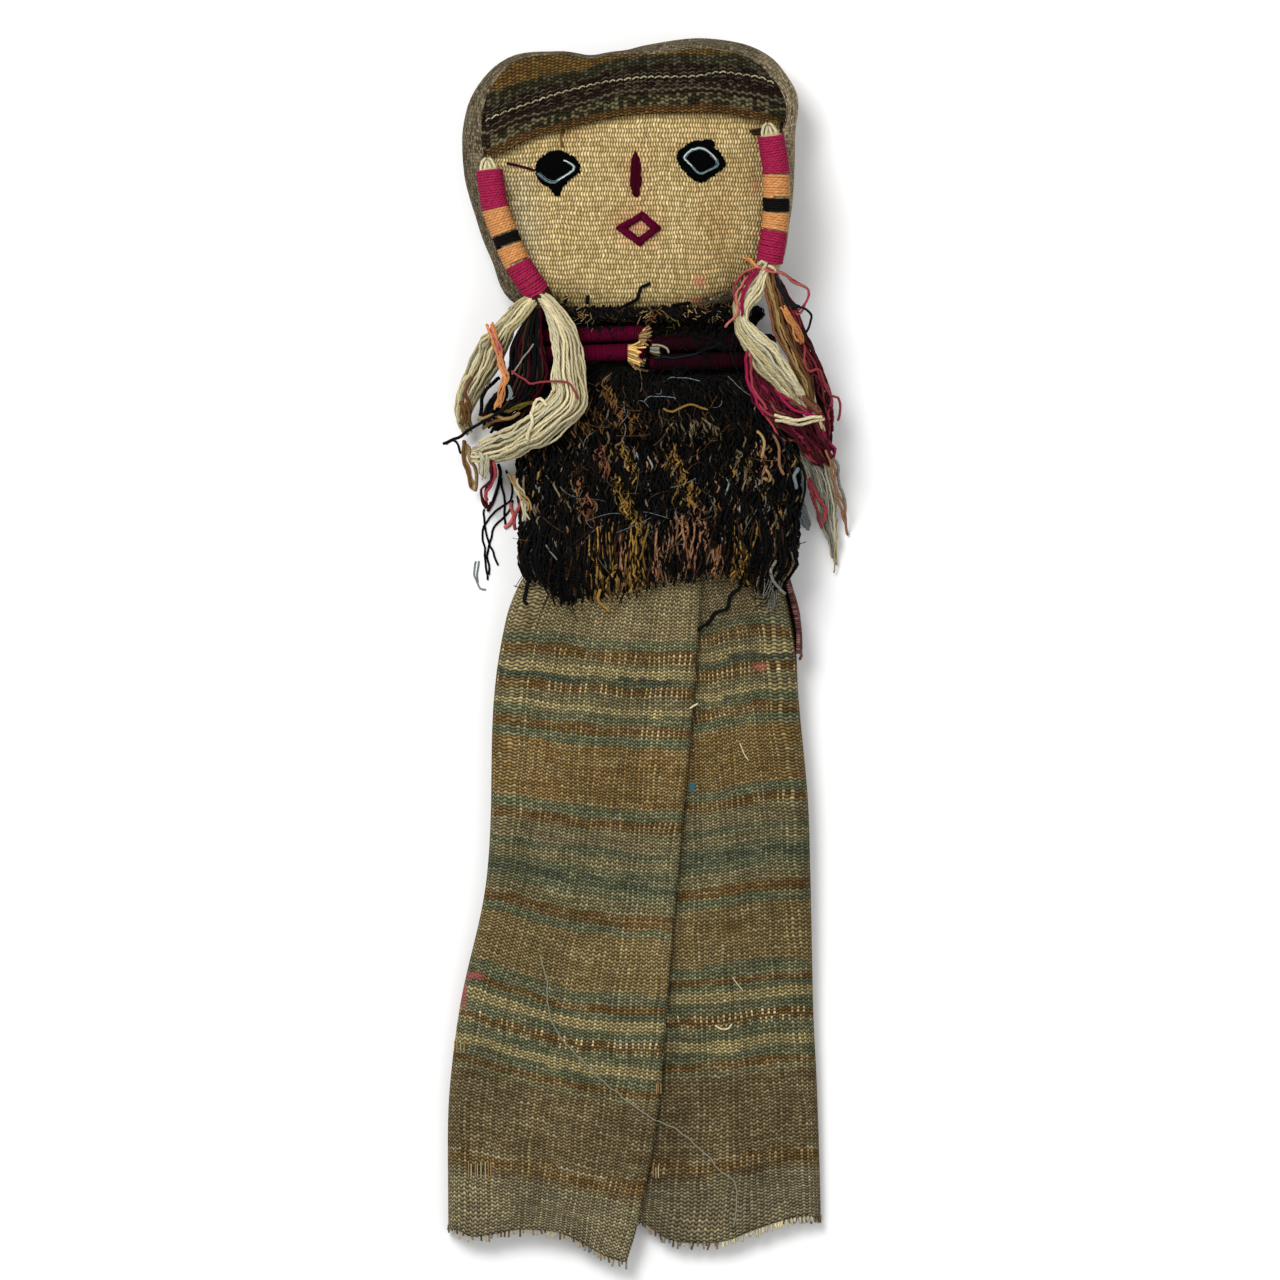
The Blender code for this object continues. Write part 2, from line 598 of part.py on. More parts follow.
def make_neck_cord(name, radius, left_y, right_y, collection):
    """A wrapped cord tied round the neck, its two ends meeting on the front."""
    left, right, back, front = NECK_CORD_GROOVE
    spread = radius + 1.5 * GAP / MM
    side = SIDE_SHARE * (front - back) + spread
    crown = CROWN_SHARE * (front - back)
    path = wrap_path(left - spread, right + spread, back - spread, side, crown,
                     NECK_CORD_LEFT_END, NECK_CORD_RIGHT_END)
    stations = []
    for k, (x, z) in enumerate(path):
        y = left_y + (right_y - left_y) * k / (len(path) - 1)
        stations.append(Vector((x, y, z)) * MM)
    rows = []
    for i, point in enumerate(stations):
        ahead = stations[min(i + 1, len(stations) - 1)]
        behind = stations[max(i - 1, 0)]
        along = (ahead - behind).normalized()
        across = Vector((0, 1, 0))
        up = along.cross(across).normalized()
        row = []
        for j in range(NECK_CORD_SIDES):
            turn = math.tau * j / NECK_CORD_SIDES
            sideways = across * (radius * MM * math.cos(turn))
            row.append(point + sideways + up * (radius * MM * math.sin(turn)))
        rows.append(row)
    return add_object(name, loft(name, rows, caps=True), "dark_magenta_yarn", collection)


def skirt_path(y):
    """The skirt's cloth seen along its length at one y, from the free edge round to the
    inner edge that it covers."""
    free = smooth_value(SKIRT_FREE_EDGE, y)
    return wrap_path(
        smooth_value(SKIRT_LEFT, y), smooth_value(SKIRT_RIGHT, y), smooth_value(SKIRT_LIFT, y),
        smooth_value(SKIRT_FOLD_RADIUS, y), smooth_value(SKIRT_CROWN, y),
        free, free - smooth_value(SKIRT_OVERLAP, y), SKIRT_LAYER, SKIRT_FRONT_POINTS,
    )


def panel_droop(index, count):
    """How far a point of the skirt's path shares in the droop of the left panel."""
    steps = SKIRT_FRONT_POINTS
    if index < steps:
        return 1.0 - index / steps
    from_right = index - (count - 1 - steps)
    return RIGHT_PANEL_DROOP * max(0, from_right) / steps


def make_skirt(collection):
    """The striped cloth wrapped round the trunk, the left panel over the right one."""
    top = SKIRT_LEVELS[0]
    hem = SKIRT_LEVELS[-1]
    rows = []
    for level in SKIRT_LEVELS:
        down = (level - top) / (hem - top)
        droop = PANEL_DROOP_TOP + (PANEL_DROOP_HEM - PANEL_DROOP_TOP) * down
        count = len(skirt_path(level))
        row = []
        for j in range(count):
            y = level - droop * panel_droop(j, count)
            x, z = skirt_path(y)[j]
            row.append(Vector((x, y, z)) * MM)
        rows.append(row)
    piece = add_object("skirt", loft("skirt", rows, around=False), "skirt_cloth", collection)
    thicken(piece, SKIRT_CLOTH, outward=False)
    return piece


def make_side_strip(collection):
    """The dark strip that follows the right fold of the skirt."""
    rows = []
    for i in range(STRIP_ROWS + 1):
        down = i / STRIP_ROWS
        y = STRIP_TOP + (STRIP_END - STRIP_TOP) * down
        fold = smooth_value(SKIRT_FOLD_RADIUS, y)
        lift = smooth_value(SKIRT_LIFT, y)
        centre_x = smooth_value(SKIRT_RIGHT, y) - fold
        radius = fold + CLEARANCE / MM + STRIP_FLARE * math.sin(math.pi * down)
        row = []
        for j in range(STRIP_COLUMNS + 1):
            angle = STRIP_LOW_ANGLE + (STRIP_HIGH_ANGLE - STRIP_LOW_ANGLE) * j / STRIP_COLUMNS
            turn = math.radians(angle)
            x = centre_x + radius * math.cos(turn)
            z = lift + fold + radius * math.sin(turn)
            row.append(Vector((x, y, z)) * MM)
        rows.append(row)
    piece = add_object("side_strip", loft("strip", rows, around=False), "dark_cloth", collection)
    thicken(piece, STRIP_CLOTH, outward=True)
    return piece


def main():
    for existing in list(bpy.data.objects):
        bpy.data.objects.remove(existing)
    collection = bpy.data.collections.new(COLLECTION_NAME)
    bpy.context.scene.collection.children.link(collection)
    make_head_and_trunk(collection)
    make_hood(collection)
    make_forehead_band(collection)
    make_patch("left_eye", LEFT_EYE, LEFT_EYE_OUTLINE, "black_yarn", collection)
    make_patch("right_eye", RIGHT_EYE, RIGHT_EYE_OUTLINE, "black_yarn", collection)
    make_patch("nose_stitches", NOSE, NOSE_OUTLINE, "dark_magenta_yarn", collection)
    on_patch = 2.0 * CLEARANCE + STITCH_RISE
    make_face_thread("left_eye_thread", LEFT_EYE, LEFT_EYE_THREAD, EYE_THREAD_RADIUS,
                     on_patch, False, "white_yarn", collection)
    make_face_thread("right_eye_thread", RIGHT_EYE, RIGHT_EYE_THREAD, EYE_THREAD_RADIUS,
                     on_patch, True, "white_yarn", collection)
    make_face_thread("mouth_stitches", MOUTH, MOUTH_OUTLINE, MOUTH_THREAD_RADIUS,
                     CLEARANCE, True, "dark_magenta_yarn", collection)
    make_wraps("left", LEFT_BRAID, LEFT_WRAPS, collection)
    make_wraps("right", RIGHT_BRAID, RIGHT_WRAPS, collection)
    make_tassel("left_tassel", LEFT_BRAID, LEFT_WRAPS, LEFT_LOCKS, collection)
    make_tassel("right_tassel", RIGHT_BRAID, RIGHT_WRAPS, RIGHT_LOCKS, collection)
    make_shawl(collection)
    for name, radius, left_y, right_y in NECK_CORDS:
        make_neck_cord(name, radius, left_y, right_y, collection)
    make_skirt(collection)
    make_side_strip(collection)


main()
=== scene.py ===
import functools
import math
import random

import bmesh
import bpy
import numpy as np
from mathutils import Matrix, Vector, noise
from mathutils.bvhtree import BVHTree


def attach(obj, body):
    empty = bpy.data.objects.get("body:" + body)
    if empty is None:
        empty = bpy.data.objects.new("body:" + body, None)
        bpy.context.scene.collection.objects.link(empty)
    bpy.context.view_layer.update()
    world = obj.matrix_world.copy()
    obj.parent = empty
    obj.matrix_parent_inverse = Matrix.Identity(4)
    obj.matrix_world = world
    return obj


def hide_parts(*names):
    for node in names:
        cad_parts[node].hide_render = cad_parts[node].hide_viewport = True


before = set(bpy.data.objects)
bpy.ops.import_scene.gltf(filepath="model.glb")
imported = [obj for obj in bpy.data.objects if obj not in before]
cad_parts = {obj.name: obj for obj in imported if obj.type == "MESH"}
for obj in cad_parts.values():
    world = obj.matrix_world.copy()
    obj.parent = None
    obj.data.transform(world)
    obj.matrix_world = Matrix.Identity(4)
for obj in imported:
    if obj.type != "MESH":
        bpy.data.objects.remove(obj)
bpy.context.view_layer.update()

MM = 0.001
DOWN = Vector((0.0, 0.0, -1.0))
UP = Vector((0.0, 0.0, 1.0))
HEAD_END = Vector((0.0, 1.0, 0.0))

# The photograph is taken from straight above; one pixel is this many metres
PIXEL = 0.26 * MM
PHOTO_ORIGIN = (642.0, 650.0)
PHOTO_MIDDLE = 640.0

# Cloth thicknesses and gaps, as in the solids
GAP = 0.3 * MM
HOOD_CLOTH = 1.2 * MM
BAND_CLOTH = 1.0 * MM
SKIRT_CLOTH = 1.0 * MM
STRIP_CLOTH = 1.0 * MM

# The stuffed head: outline in polar form (degrees, millimetres) about its middle
HEAD_CENTRE = (-3.5 * MM, 122.0 * MM)
HEAD_HALF_DEPTH = 13.0 * MM
HEAD_MID_HEIGHT = HEAD_HALF_DEPTH + HOOD_CLOTH + GAP
HEAD_FLATNESS = 3.0
HEAD_EDGE_ROUNDNESS = 2.2
HEAD_OUTLINE = (
    (0, 43.0), (15, 44.8), (30, 49.4), (42, 48.8), (60, 42.6), (75, 37.4),
    (90, 34.1), (105, 33.9), (120, 38.7), (135, 44.8), (150, 46.4), (165, 44.6),
    (180, 42.4), (195, 40.8), (210, 41.1), (225, 43.6), (240, 40.0), (255, 38.5),
    (270, 38.0), (285, 38.5), (300, 40.5), (315, 43.0), (330, 45.2), (345, 43.3),
)
HOOD_SEAM = (
    (0, 0.955), (33, 0.94), (57, 0.94), (74, 0.925), (88, 0.97), (100, 0.985),
    (132, 0.975), (145, 0.945), (165, 0.90), (185, 0.89), (225, 0.90), (270, 0.93),
    (315, 0.93), (340, 0.95),
)
HOOD_LOWER_EDGE = 90.4 * MM
HOOD_OPENING = 0.5
BODY_SLACK = 1.0 * MM
BODY_VOXEL = 2.6 * MM
BODY_PRESSURE = 4.0
BODY_FRAMES = 20
BODY_PUFF_LIMIT = 1.2 * MM
# How much the bag is drawn in under the skirt, and over what length that begins, in millimetres
TRUNK_SLACK = 1.7
TRUNK_SLACK_EASE = 10.0

# The striped band across the forehead, its lower edge in millimetres
BAND_LEFT_ANGLE = 167
BAND_RIGHT_ANGLE = 21
BAND_STAND_OFF = 0.7 * MM
BAND_LOWER_EDGE = (
    (-39.3, 128.3), (-35.1, 129.5), (-29.1, 132.6), (-20.3, 135.0), (-7.5, 138.1),
    (4.0, 139.2), (19.0, 139.4), (26.8, 138.2), (34.0, 137.2),
)

# Stitched features: middles and outlines in millimetres
LEFT_EYE = (-21.8, 125.3)
LEFT_EYE_OUTLINE = (
    (-5.6, 0.7), (-4.7, 2.3), (-3.0, 3.5), (-1.2, 4.2), (0.8, 4.1), (3.0, 3.1), (4.7, 2.0),
    (5.6, 0.5), (5.6, -1.2), (4.2, -2.3), (2.4, -3.7), (0.8, -5.2), (0.4, -7.2), (-0.1, -7.4),
    (-1.4, -6.2), (-2.5, -5.0), (-4.3, -4.0), (-5.4, -2.3), (-5.7, -0.8),
)
LEFT_EYE_THREAD = (
    (1.5, 1.8), (3.0, 1.1), (4.2, 0.1), (4.0, -0.8), (2.1, -2.1), (0.1, -3.3), (-0.8, -3.9),
    (-2.1, -3.8), (-3.4, -3.1), (-4.5, -2.2), (-5.2, -1.5),
)
RIGHT_EYE = (15.1, 126.5)
RIGHT_EYE_OUTLINE = (
    (-6.2, 1.4), (-5.4, 2.9), (-3.5, 4.5), (-1.7, 5.4), (0.9, 5.6), (3.1, 5.9), (3.6, 4.9),
    (3.2, 4.1), (4.9, 2.9), (6.2, 0.7), (6.4, -0.4), (5.7, -1.5), (4.0, -2.8), (1.6, -4.6),
    (0.1, -5.0), (-1.7, -4.3), (-3.5, -2.8), (-5.2, -0.8),
)
RIGHT_EYE_THREAD = (
    (-2.1, -1.0), (-3.4, 0.3), (-4.1, 1.3), (-3.4, 2.4), (-2.1, 3.3), (-0.2, 3.8), (1.2, 3.5),
    (3.1, 2.0), (4.2, 0.7), (4.6, -0.4), (4.1, -1.1), (2.7, -1.8), (0.7, -2.8), (-0.2, -2.9),
    (-1.0, -2.3), (-2.1, -1.0),
)
NOSE = (-1.7, 123.5)
NOSE_OUTLINE = (
    (0.0, 6.0), (1.2, 3.2), (1.5, -2.0), (0.7, -6.0), (-0.5, -5.6), (-1.4, -2.0), (-1.2, 3.2),
)
MOUTH = (-0.9, 109.3)
MOUTH_RING = ((-4.6, 0.2), (0.9, 3.5), (4.6, 0.1), (0.2, -3.5), (-4.6, 0.2))

# The braids: axis points, and where each wrap starts and ends along Y, in millimetres
BRAID_RADIUS = 3.6 * MM
WINDING_RADIUS = 0.4 * MM
WINDING_PITCH = 0.66 * MM
BRAIDS = {
    "left": ((-40.0, 126.6), (-39.3, 122.0), (-38.0, 114.4), (-35.4, 107.4), (-32.2, 100.1),
             (-27.6, 93.1), (-25.9, 89.6)),
    "right": ((32.8, 136.4), (33.4, 133.0), (34.8, 123.5), (34.8, 114.0), (34.3, 108.7),
              (33.0, 100.4), (32.4, 97.0)),
}
WRAPS = {
    "left": (("magenta_top", 124.6, 114.6), ("orange_upper", 114.6, 108.0),
             ("black", 108.0, 105.0), ("orange_lower", 105.0, 100.2),
             ("magenta_bottom", 100.2, 92.8)),
    "right": (("magenta_top", 133.6, 123.3), ("orange_upper", 123.3, 117.4),
              ("black", 117.4, 113.7), ("orange_lower", 113.7, 108.8),
              ("magenta_bottom", 108.8, 100.5)),
}

# Locks of the tassels: x, y, z, half width and half height in millimetres
LEFT_INNER_LOCK = (
    (-26.2, 91.6, 29.0, 1.6, 1.6), (-23.4, 88.6, 30.3, 2.4, 2.2), (-20.4, 82.6, 31.0, 3.4, 2.6),
    (-19.4, 76.4, 31.5, 3.9, 2.8), (-18.6, 70.4, 32.3, 4.7, 2.8), (-18.6, 65.4, 32.6, 5.1, 2.8),
    (-22.4, 60.8, 32.2, 4.6, 2.8), (-28.4, 56.6, 29.6, 4.3, 2.8), (-35.6, 53.2, 20.0, 4.0, 2.8),
    (-41.0, 51.0, 11.5, 3.3, 2.6), (-44.6, 50.6, 7.8, 1.6, 1.6),
)
LEFT_OUTER_LOCK = (
    (-27.6, 91.2, 29.0, 1.4, 1.4), (-31.2, 88.2, 28.5, 2.4, 2.0), (-35.6, 83.2, 25.0, 3.2, 2.2),
    (-39.2, 77.4, 19.4, 4.0, 2.4), (-42.6, 71.2, 14.0, 3.9, 2.4), (-45.6, 65.6, 9.8, 2.9, 2.2),
    (-46.6, 60.4, 7.4, 2.2, 2.0), (-45.6, 56.4, 5.8, 1.4, 1.4),
)
RIGHT_FOLDED_LOCK = (
    (31.6, 98.8, 28.5, 1.6, 1.6), (29.2, 94.4, 29.6, 3.0, 2.0), (26.8, 89.6, 30.6, 2.8, 2.2),
    (26.0, 85.4, 30.8, 2.4, 2.4), (28.4, 81.0, 31.2, 3.2, 2.6), (32.4, 76.0, 30.8, 3.8, 2.8),
    (36.6, 70.8, 29.4, 3.7, 2.6), (40.2, 66.0, 27.0, 2.6, 2.2), (42.0, 62.6, 24.5, 1.2, 1.2),
)
RIGHT_BROWN_LOCK = (
    (33.2, 98.2, 28.2, 1.8, 1.6), (34.4, 91.6, 29.0, 2.4, 2.0), (36.4, 84.0, 27.6, 2.6, 2.0),
    (39.6, 76.0, 24.6, 2.2, 2.0), (42.6, 68.0, 21.6, 2.2, 1.8), (43.4, 61.6, 19.6, 2.0, 1.6),
)
RIGHT_MAROON_LOCK = (
    (28.4, 80.4, 27.0, 1.2, 1.2), (28.8, 75.0, 27.4, 2.0, 1.8), (31.0, 69.0, 28.0, 3.4, 2.2),
    (35.4, 63.4, 27.8, 4.6, 2.4), (40.6, 58.8, 24.8, 5.4, 2.6), (44.6, 53.6, 18.0, 4.2, 2.6),
    (47.4, 48.4, 11.0, 2.6, 2.0),
)
RIGHT_OUTER_LOCK = (
    (34.6, 96.0, 26.6, 1.6, 1.4), (38.6, 88.0, 23.4, 1.8, 1.6), (42.6, 78.0, 18.6, 2.0, 1.6),
    (46.0, 68.0, 14.4, 2.2, 1.6), (48.0, 60.0, 11.6, 2.0, 1.6), (47.6, 53.0, 9.8, 1.8, 1.4),
)
RIGHT_GREY_LOCK = (
    (41.6, 55.0, 19.0, 1.6, 1.4), (44.0, 50.0, 13.6, 3.0, 2.0), (46.6, 43.0, 8.0, 3.6, 2.0),
    (48.6, 35.0, 4.6, 2.8, 1.8), (49.8, 28.6, 2.8, 1.6, 1.2), (50.2, 21.8, 1.8, 0.8, 0.8),
)
RIGHT_BLUE_LOCK = (
    (38.6, 48.6, 13.0, 2.0, 1.4), (39.4, 43.6, 9.0, 2.4, 1.6), (41.0, 37.4, 5.6, 2.0, 1.4),
    (43.0, 31.6, 3.4, 1.0, 0.8),
)

# The dark shawl, by sections: y, left, right, back and front in millimetres
SHAWL_OUTER = (
    (89.0, -33.5, 30.0, 3.0, 26.5), (87.4, -32.8, 30.4, 2.4, 28.0), (85.8, -29.0, 29.2, 3.4, 27.0),
    (84.8, -26.0, 28.4, 5.2, 23.2), (72.3, -26.0, 30.4, 5.2, 23.2), (70.8, -28.5, 33.4, 2.8, 26.0),
    (66.0, -30.2, 37.2, 0.6, 28.4), (58.5, -31.6, 39.8, 0.0, 30.6), (55.5, -31.8, 40.2, 0.0, 31.0),
    (54.0, -31.2, 39.8, 0.0, 28.4), (45.0, -30.8, 39.6, 0.0, 28.6), (35.0, -30.4, 39.4, 0.0, 27.4),
    (27.0, -30.4, 38.9, 0.0, 26.4), (23.0, -30.4, 38.7, 0.0, 25.8),
)
NECK_SECTIONS = (
    (95.0, -17.0, 14.0, 10.5, 18.0), (89.0, -19.0, 18.0, 9.0, 19.0), (84.0, -20.5, 21.5, 8.6, 19.2),
    (73.0, -20.5, 24.0, 8.6, 19.2), (70.5, -22.5, 27.5, 6.8, 20.4), (66.0, -25.5, 32.5, 4.6, 21.6),
    (58.0, -27.5, 35.6, 4.2, 21.8), (45.0, -27.0, 35.4, 4.2, 21.4), (36.0, -25.6, 34.0, 4.2, 20.0),
    (30.0, -24.6, 32.8, 4.8, 17.6), (6.0, -33.4, 36.6, 2.6, 15.4), (-35.0, -36.6, 40.2, 2.6, 12.6),
    (-95.0, -44.4, 41.8, 2.6, 6.6), (-98.0, -41.4, 38.8, 3.4, 5.6),
)
SIDE_SHARE = 0.43
CROWN_SHARE = 0.14
NECK_CORDS = (("upper_neck_cord", 2.1, 82.3, 79.4), ("lower_neck_cord", 2.3, 77.5, 74.6))
NECK_CORD_GROOVE = (-26.0, 30.4, 5.2, 23.2)
NECK_CORD_LEFT_END = 0.4
NECK_CORD_RIGHT_END = 2.6

# The skirt, by sections along Y, in millimetres
SKIRT_TOP = 28.0
SKIRT_HEM = -159.4
SKIRT_LAYER = 1.5
SKIRT_OVERLAP = ((34.0, 30.0), (-160.0, 22.0))
SKIRT_LIFT = ((34.0, 2.3), (18.0, 2.3), (6.0, 0.0), (-160.0, 0.0))
SKIRT_LEFT = (
    (34.0, -27.0), (24.0, -27.6), (17.5, -31.8), (8.0, -35.4), (-13.0, -38.6), (-48.0, -39.6),
    (-65.0, -41.3), (-91.0, -47.1), (-112.0, -49.9), (-127.0, -50.6), (-160.0, -50.4),
)
SKIRT_RIGHT = (
    (34.0, 35.0), (20.0, 36.4), (3.0, 39.8), (-13.0, 40.8), (-39.0, 43.2), (-60.0, 43.9),
    (-96.0, 44.7), (-112.0, 45.5), (-143.0, 46.5), (-160.0, 46.6),
)
SKIRT_FREE_EDGE = (
    (34.0, 15.8), (20.0, 15.6), (-15.0, 13.3), (-72.0, 8.1), (-120.0, 4.2), (-149.0, -1.0),
    (-160.0, -4.2),
)
SKIRT_FOLD_RADIUS = (
    (34.0, 8.0), (10.0, 8.0), (-20.0, 7.0), (-60.0, 5.4), (-100.0, 3.8), (-130.0, 2.9),
    (-160.0, 2.5),
)
SKIRT_CROWN = ((34.0, 1.5), (0.0, 2.2), (-60.0, 2.0), (-110.0, 1.0), (-160.0, 0.4))
# Soft folds of the skirt: ends in photograph pixels, width and height in millimetres
SKIRT_FOLDS = (
    ((560, 640), (578, 700), 3.2, -1.2), ((590, 650), (600, 712), 4.2, 1.1),
    ((575, 715), (566, 760), 4.2, 1.0), ((506, 820), (500, 900), 3.2, 1.1),
    ((530, 830), (520, 930), 3.6, -0.9), ((560, 900), (536, 1000), 4.5, 0.9),
    ((700, 936), (760, 926), 2.2, -1.1), ((706, 912), (775, 902), 3.2, 0.8),
    ((600, 760), (596, 860), 5.0, 0.8), ((720, 1010), (714, 1100), 3.6, -0.7),
    ((760, 1000), (764, 1120), 3.6, 0.8), ((500, 1090), (520, 1190), 4.0, 0.9),
    ((620, 1060), (600, 1170), 4.2, -0.7), ((745, 640), (752, 760), 3.4, 0.7),
)
SKIRT_ROWS = 170
SKIRT_COLUMNS = (56, 14, 36, 14, 60)
# How far the rows rise from the free edge to the left fold and to the right fold
LEFT_RISE = (
    (28.0, 5.0), (-2.6, 4.1), (-22.0, 5.1), (-47.0, 5.9), (-71.0, 8.7), (-94.0, 10.7),
    (-112.0, 10.7), (-140.0, 10.1), (-160.0, 9.6),
)
RIGHT_RISE = (
    (28.0, 6.0), (-2.6, 7.2), (-22.0, 7.2), (-47.0, 8.6), (-71.0, 10.4), (-94.0, 9.6),
    (-112.0, 9.9), (-140.0, 9.8), (-160.0, 11.6),
)
# Rows of the left panel sag early above and late at the hem: exponent of the curve
LEFT_SAG = ((28.0, 2.0), (-50.0, 1.9), (-95.0, 2.4), (-112.0, 1.6), (-140.0, 1.1), (-160.0, 1.0))
RIGHT_SAG = ((28.0, 1.5), (-2.6, 3.0), (-71.0, 3.2), (-94.0, 2.3), (-140.0, 4.0), (-160.0, 5.0))
# The frayed hem, by share of the way across a panel: how far it lies above the lowest corner
HEM_BLEND = (-147.0, -159.0)
LEFT_HEM = ((0.0, 9.6), (0.055, 8.3), (0.13, 6.6), (0.26, 7.4), (0.38, 8.5), (0.59, 7.7), (0.72, 5.1),
            (0.86, 1.8), (0.96, 0.3), (1.0, 0.0))
RIGHT_HEM = ((0.0, 12.2), (0.09, 11.2), (0.22, 8.3), (0.32, 5.6), (0.41, 4.8), (0.53, 5.6),
             (0.58, 7.3), (0.66, 10.4), (1.0, 11.5))

# A narrow dark strip at the right side, behind the skirt
STRIP_TOP = 22.4
STRIP_END = -1.0
STRIP_LOW_ANGLE = -52.0
STRIP_HIGH_ANGLE = 22.0
STRIP_CLEARANCE = 0.5
STRIP_FLARE = 0.9

# Colours of the yarns
# How steeply a loose yarn falls at most
YARN_SLOPE = 0.8
DYES = {
    "cream": (0.56, 0.49, 0.30), "straw": (0.40, 0.34, 0.18), "grey cream": (0.42, 0.39, 0.27),
    "blue grey": (0.17, 0.20, 0.21), "tan": (0.30, 0.19, 0.08), "gold": (0.27, 0.155, 0.036),
    "yellow": (0.72, 0.46, 0.15), "brown": (0.13, 0.065, 0.02), "dark brown": (0.035, 0.018, 0.009),
    "rust": (0.17, 0.068, 0.034), "pale teal": (0.24, 0.33, 0.34), "orange": (0.55, 0.23, 0.08), "pink": (0.48, 0.13, 0.11),
    "rose": (0.30, 0.045, 0.055), "magenta": (0.26, 0.012, 0.05), "maroon": (0.07, 0.008, 0.014),
    "plum": (0.036, 0.0005, 0.006), "black": (0.0036, 0.0038, 0.0042), "blue black": (0.006, 0.010, 0.014),
    "olive": (0.10, 0.075, 0.012), "white": (0.62, 0.66, 0.64), "dust": (0.25, 0.245, 0.175),
    "grey": (0.20, 0.20, 0.17),
    "ink": (0.0006, 0.0007, 0.0008), "teal": (0.10, 0.16, 0.17), "pale": (0.36, 0.34, 0.20), "dim": (0.085, 0.072, 0.045), "wine": (0.075, 0.001, 0.015), "pink brown": (0.26, 0.128, 0.068), "fleck": (0.155, 0.115, 0.066),
}


def smooth_value(stations, at, period=None):
    """The value at one place on a smooth curve through (place, value) stations."""
    places = [station[0] for station in stations]
    values = [station[1] for station in stations]
    if places[0] > places[-1]:
        places.reverse()
        values.reverse()
    if period:
        at = at % period
        places = [places[-1] - period] + places + [places[0] + period, places[1] + period]
        values = [values[-1]] + values + [values[0], values[1]]
    at = min(max(at, places[0]), places[-1])
    last = len(places) - 1
    index = 0
    while index < last - 1 and at > places[index + 1]:
        index += 1

    def slope(k):
        low = max(k - 1, 0)
        high = min(k + 1, last)
        turns_back = (values[k] - values[low]) * (values[high] - values[k]) <= 0.0
        if 0 < k < last and turns_back:
            return 0.0
        return (values[high] - values[low]) / (places[high] - places[low])

    span = places[index + 1] - places[index]
    t = (at - places[index]) / span
    blend = t * t * (3.0 - 2.0 * t)
    start_pull = t * (1.0 - t) * (1.0 - t) * span * slope(index)
    end_pull = t * t * (t - 1.0) * span * slope(index + 1)
    return values[index] * (1.0 - blend) + values[index + 1] * blend + start_pull + end_pull


def smooth_step(low, high, at):
    """0 below low, 1 above high and a soft rise between."""
    t = min(max((at - low) / (high - low), 0.0), 1.0)
    return t * t * (3.0 - 2.0 * t)


@functools.lru_cache(maxsize=None)
def section_at(sections, y):
    """Left, right, back and front of a body given by sections, at one y."""
    return [smooth_value([(s[0], s[k]) for s in sections], y) for k in range(1, 5)]


def head_radius(angle):
    """Distance from the middle of the head to its hooded outline, angle in degrees."""
    return smooth_value(HEAD_OUTLINE, angle, 360) * MM


def head_point(angle, share, side, offset):
    """A point on the pillow of the head: share 0 at the pole, 1 at the rim."""
    radius = head_radius(angle) - HOOD_CLOTH - GAP + offset
    rise = max(0.0, 1.0 - share ** HEAD_FLATNESS) ** (1.0 / HEAD_EDGE_ROUNDNESS)
    x = HEAD_CENTRE[0] + share * radius * math.cos(math.radians(angle))
    y = HEAD_CENTRE[1] + share * radius * math.sin(math.radians(angle))
    return Vector((x, y, HEAD_MID_HEIGHT + side * (HEAD_HALF_DEPTH + offset) * rise))


def on_face(x, y, offset):
    """The point of the face cloth above x, y, raised by an offset."""
    dx = x - HEAD_CENTRE[0]
    dy = y - HEAD_CENTRE[1]
    angle = math.degrees(math.atan2(dy, dx))
    share = math.hypot(dx, dy) / (head_radius(angle) - HOOD_CLOTH - GAP + offset)
    return head_point(angle, min(share, 1.0), 1, offset)


def photo(px, py):
    """The x and y in metres of a pixel of the photograph."""
    return (px - PHOTO_ORIGIN[0]) * PIXEL, (PHOTO_ORIGIN[1] - py) * PIXEL


def wrap_point(stretch, t, left, right, back, side, crown, start, end, layer=0.0):
    """A point of a cloth wrapped round an oblong. Stretches 0 to 4 are the front to the left,
    the left fold, the back, the right fold and the front again; t runs along one of them."""
    left_start = left + side
    right_start = right - side
    middle = (left_start + right_start) / 2.0
    half = (right_start - left_start) / 2.0

    def front(x):
        share = min(1.0, abs(x - middle) / half)
        return back + 2.0 * side + crown * (1.0 - share * share) ** 2

    if stretch == 0:
        x = start + (left_start - start) * t
        return x, front(x) + layer
    if stretch == 1:
        rise = side + layer / 2.0
        turn = math.pi * (0.5 + t)
        return left_start + side * math.cos(turn), back + rise + rise * math.sin(turn)
    if stretch == 2:
        return left_start + 2.0 * half * t, back
    if stretch == 3:
        turn = math.pi * (t - 0.5)
        return right_start + side * math.cos(turn), back + side + side * math.sin(turn)
    x = right_start + (end - right_start) * t
    return x, front(x)


def around(section, share):
    """A point round an oblong section, share 0 to 1 from the middle of the front leftwards."""
    left, right, back, front = section
    depth = front - back
    side = SIDE_SHARE * depth
    half = (right - left) / 2.0 - side
    lengths = (half, math.pi * side, 2.0 * half, math.pi * side, half)
    distance = (share % 1.0) * sum(lengths)
    stretch = 0
    while stretch < 4 and distance > lengths[stretch]:
        distance -= lengths[stretch]
        stretch += 1
    middle = (left + right) / 2.0
    t = distance / lengths[stretch]
    return wrap_point(stretch, t, left, right, back, side, CROWN_SHARE * depth, middle, middle)


def girth(section):
    """The way round an oblong section."""
    left, right, back, front = section
    side = SIDE_SHARE * (front - back)
    return 2.0 * (right - left - 2.0 * side) + 2.0 * math.pi * side


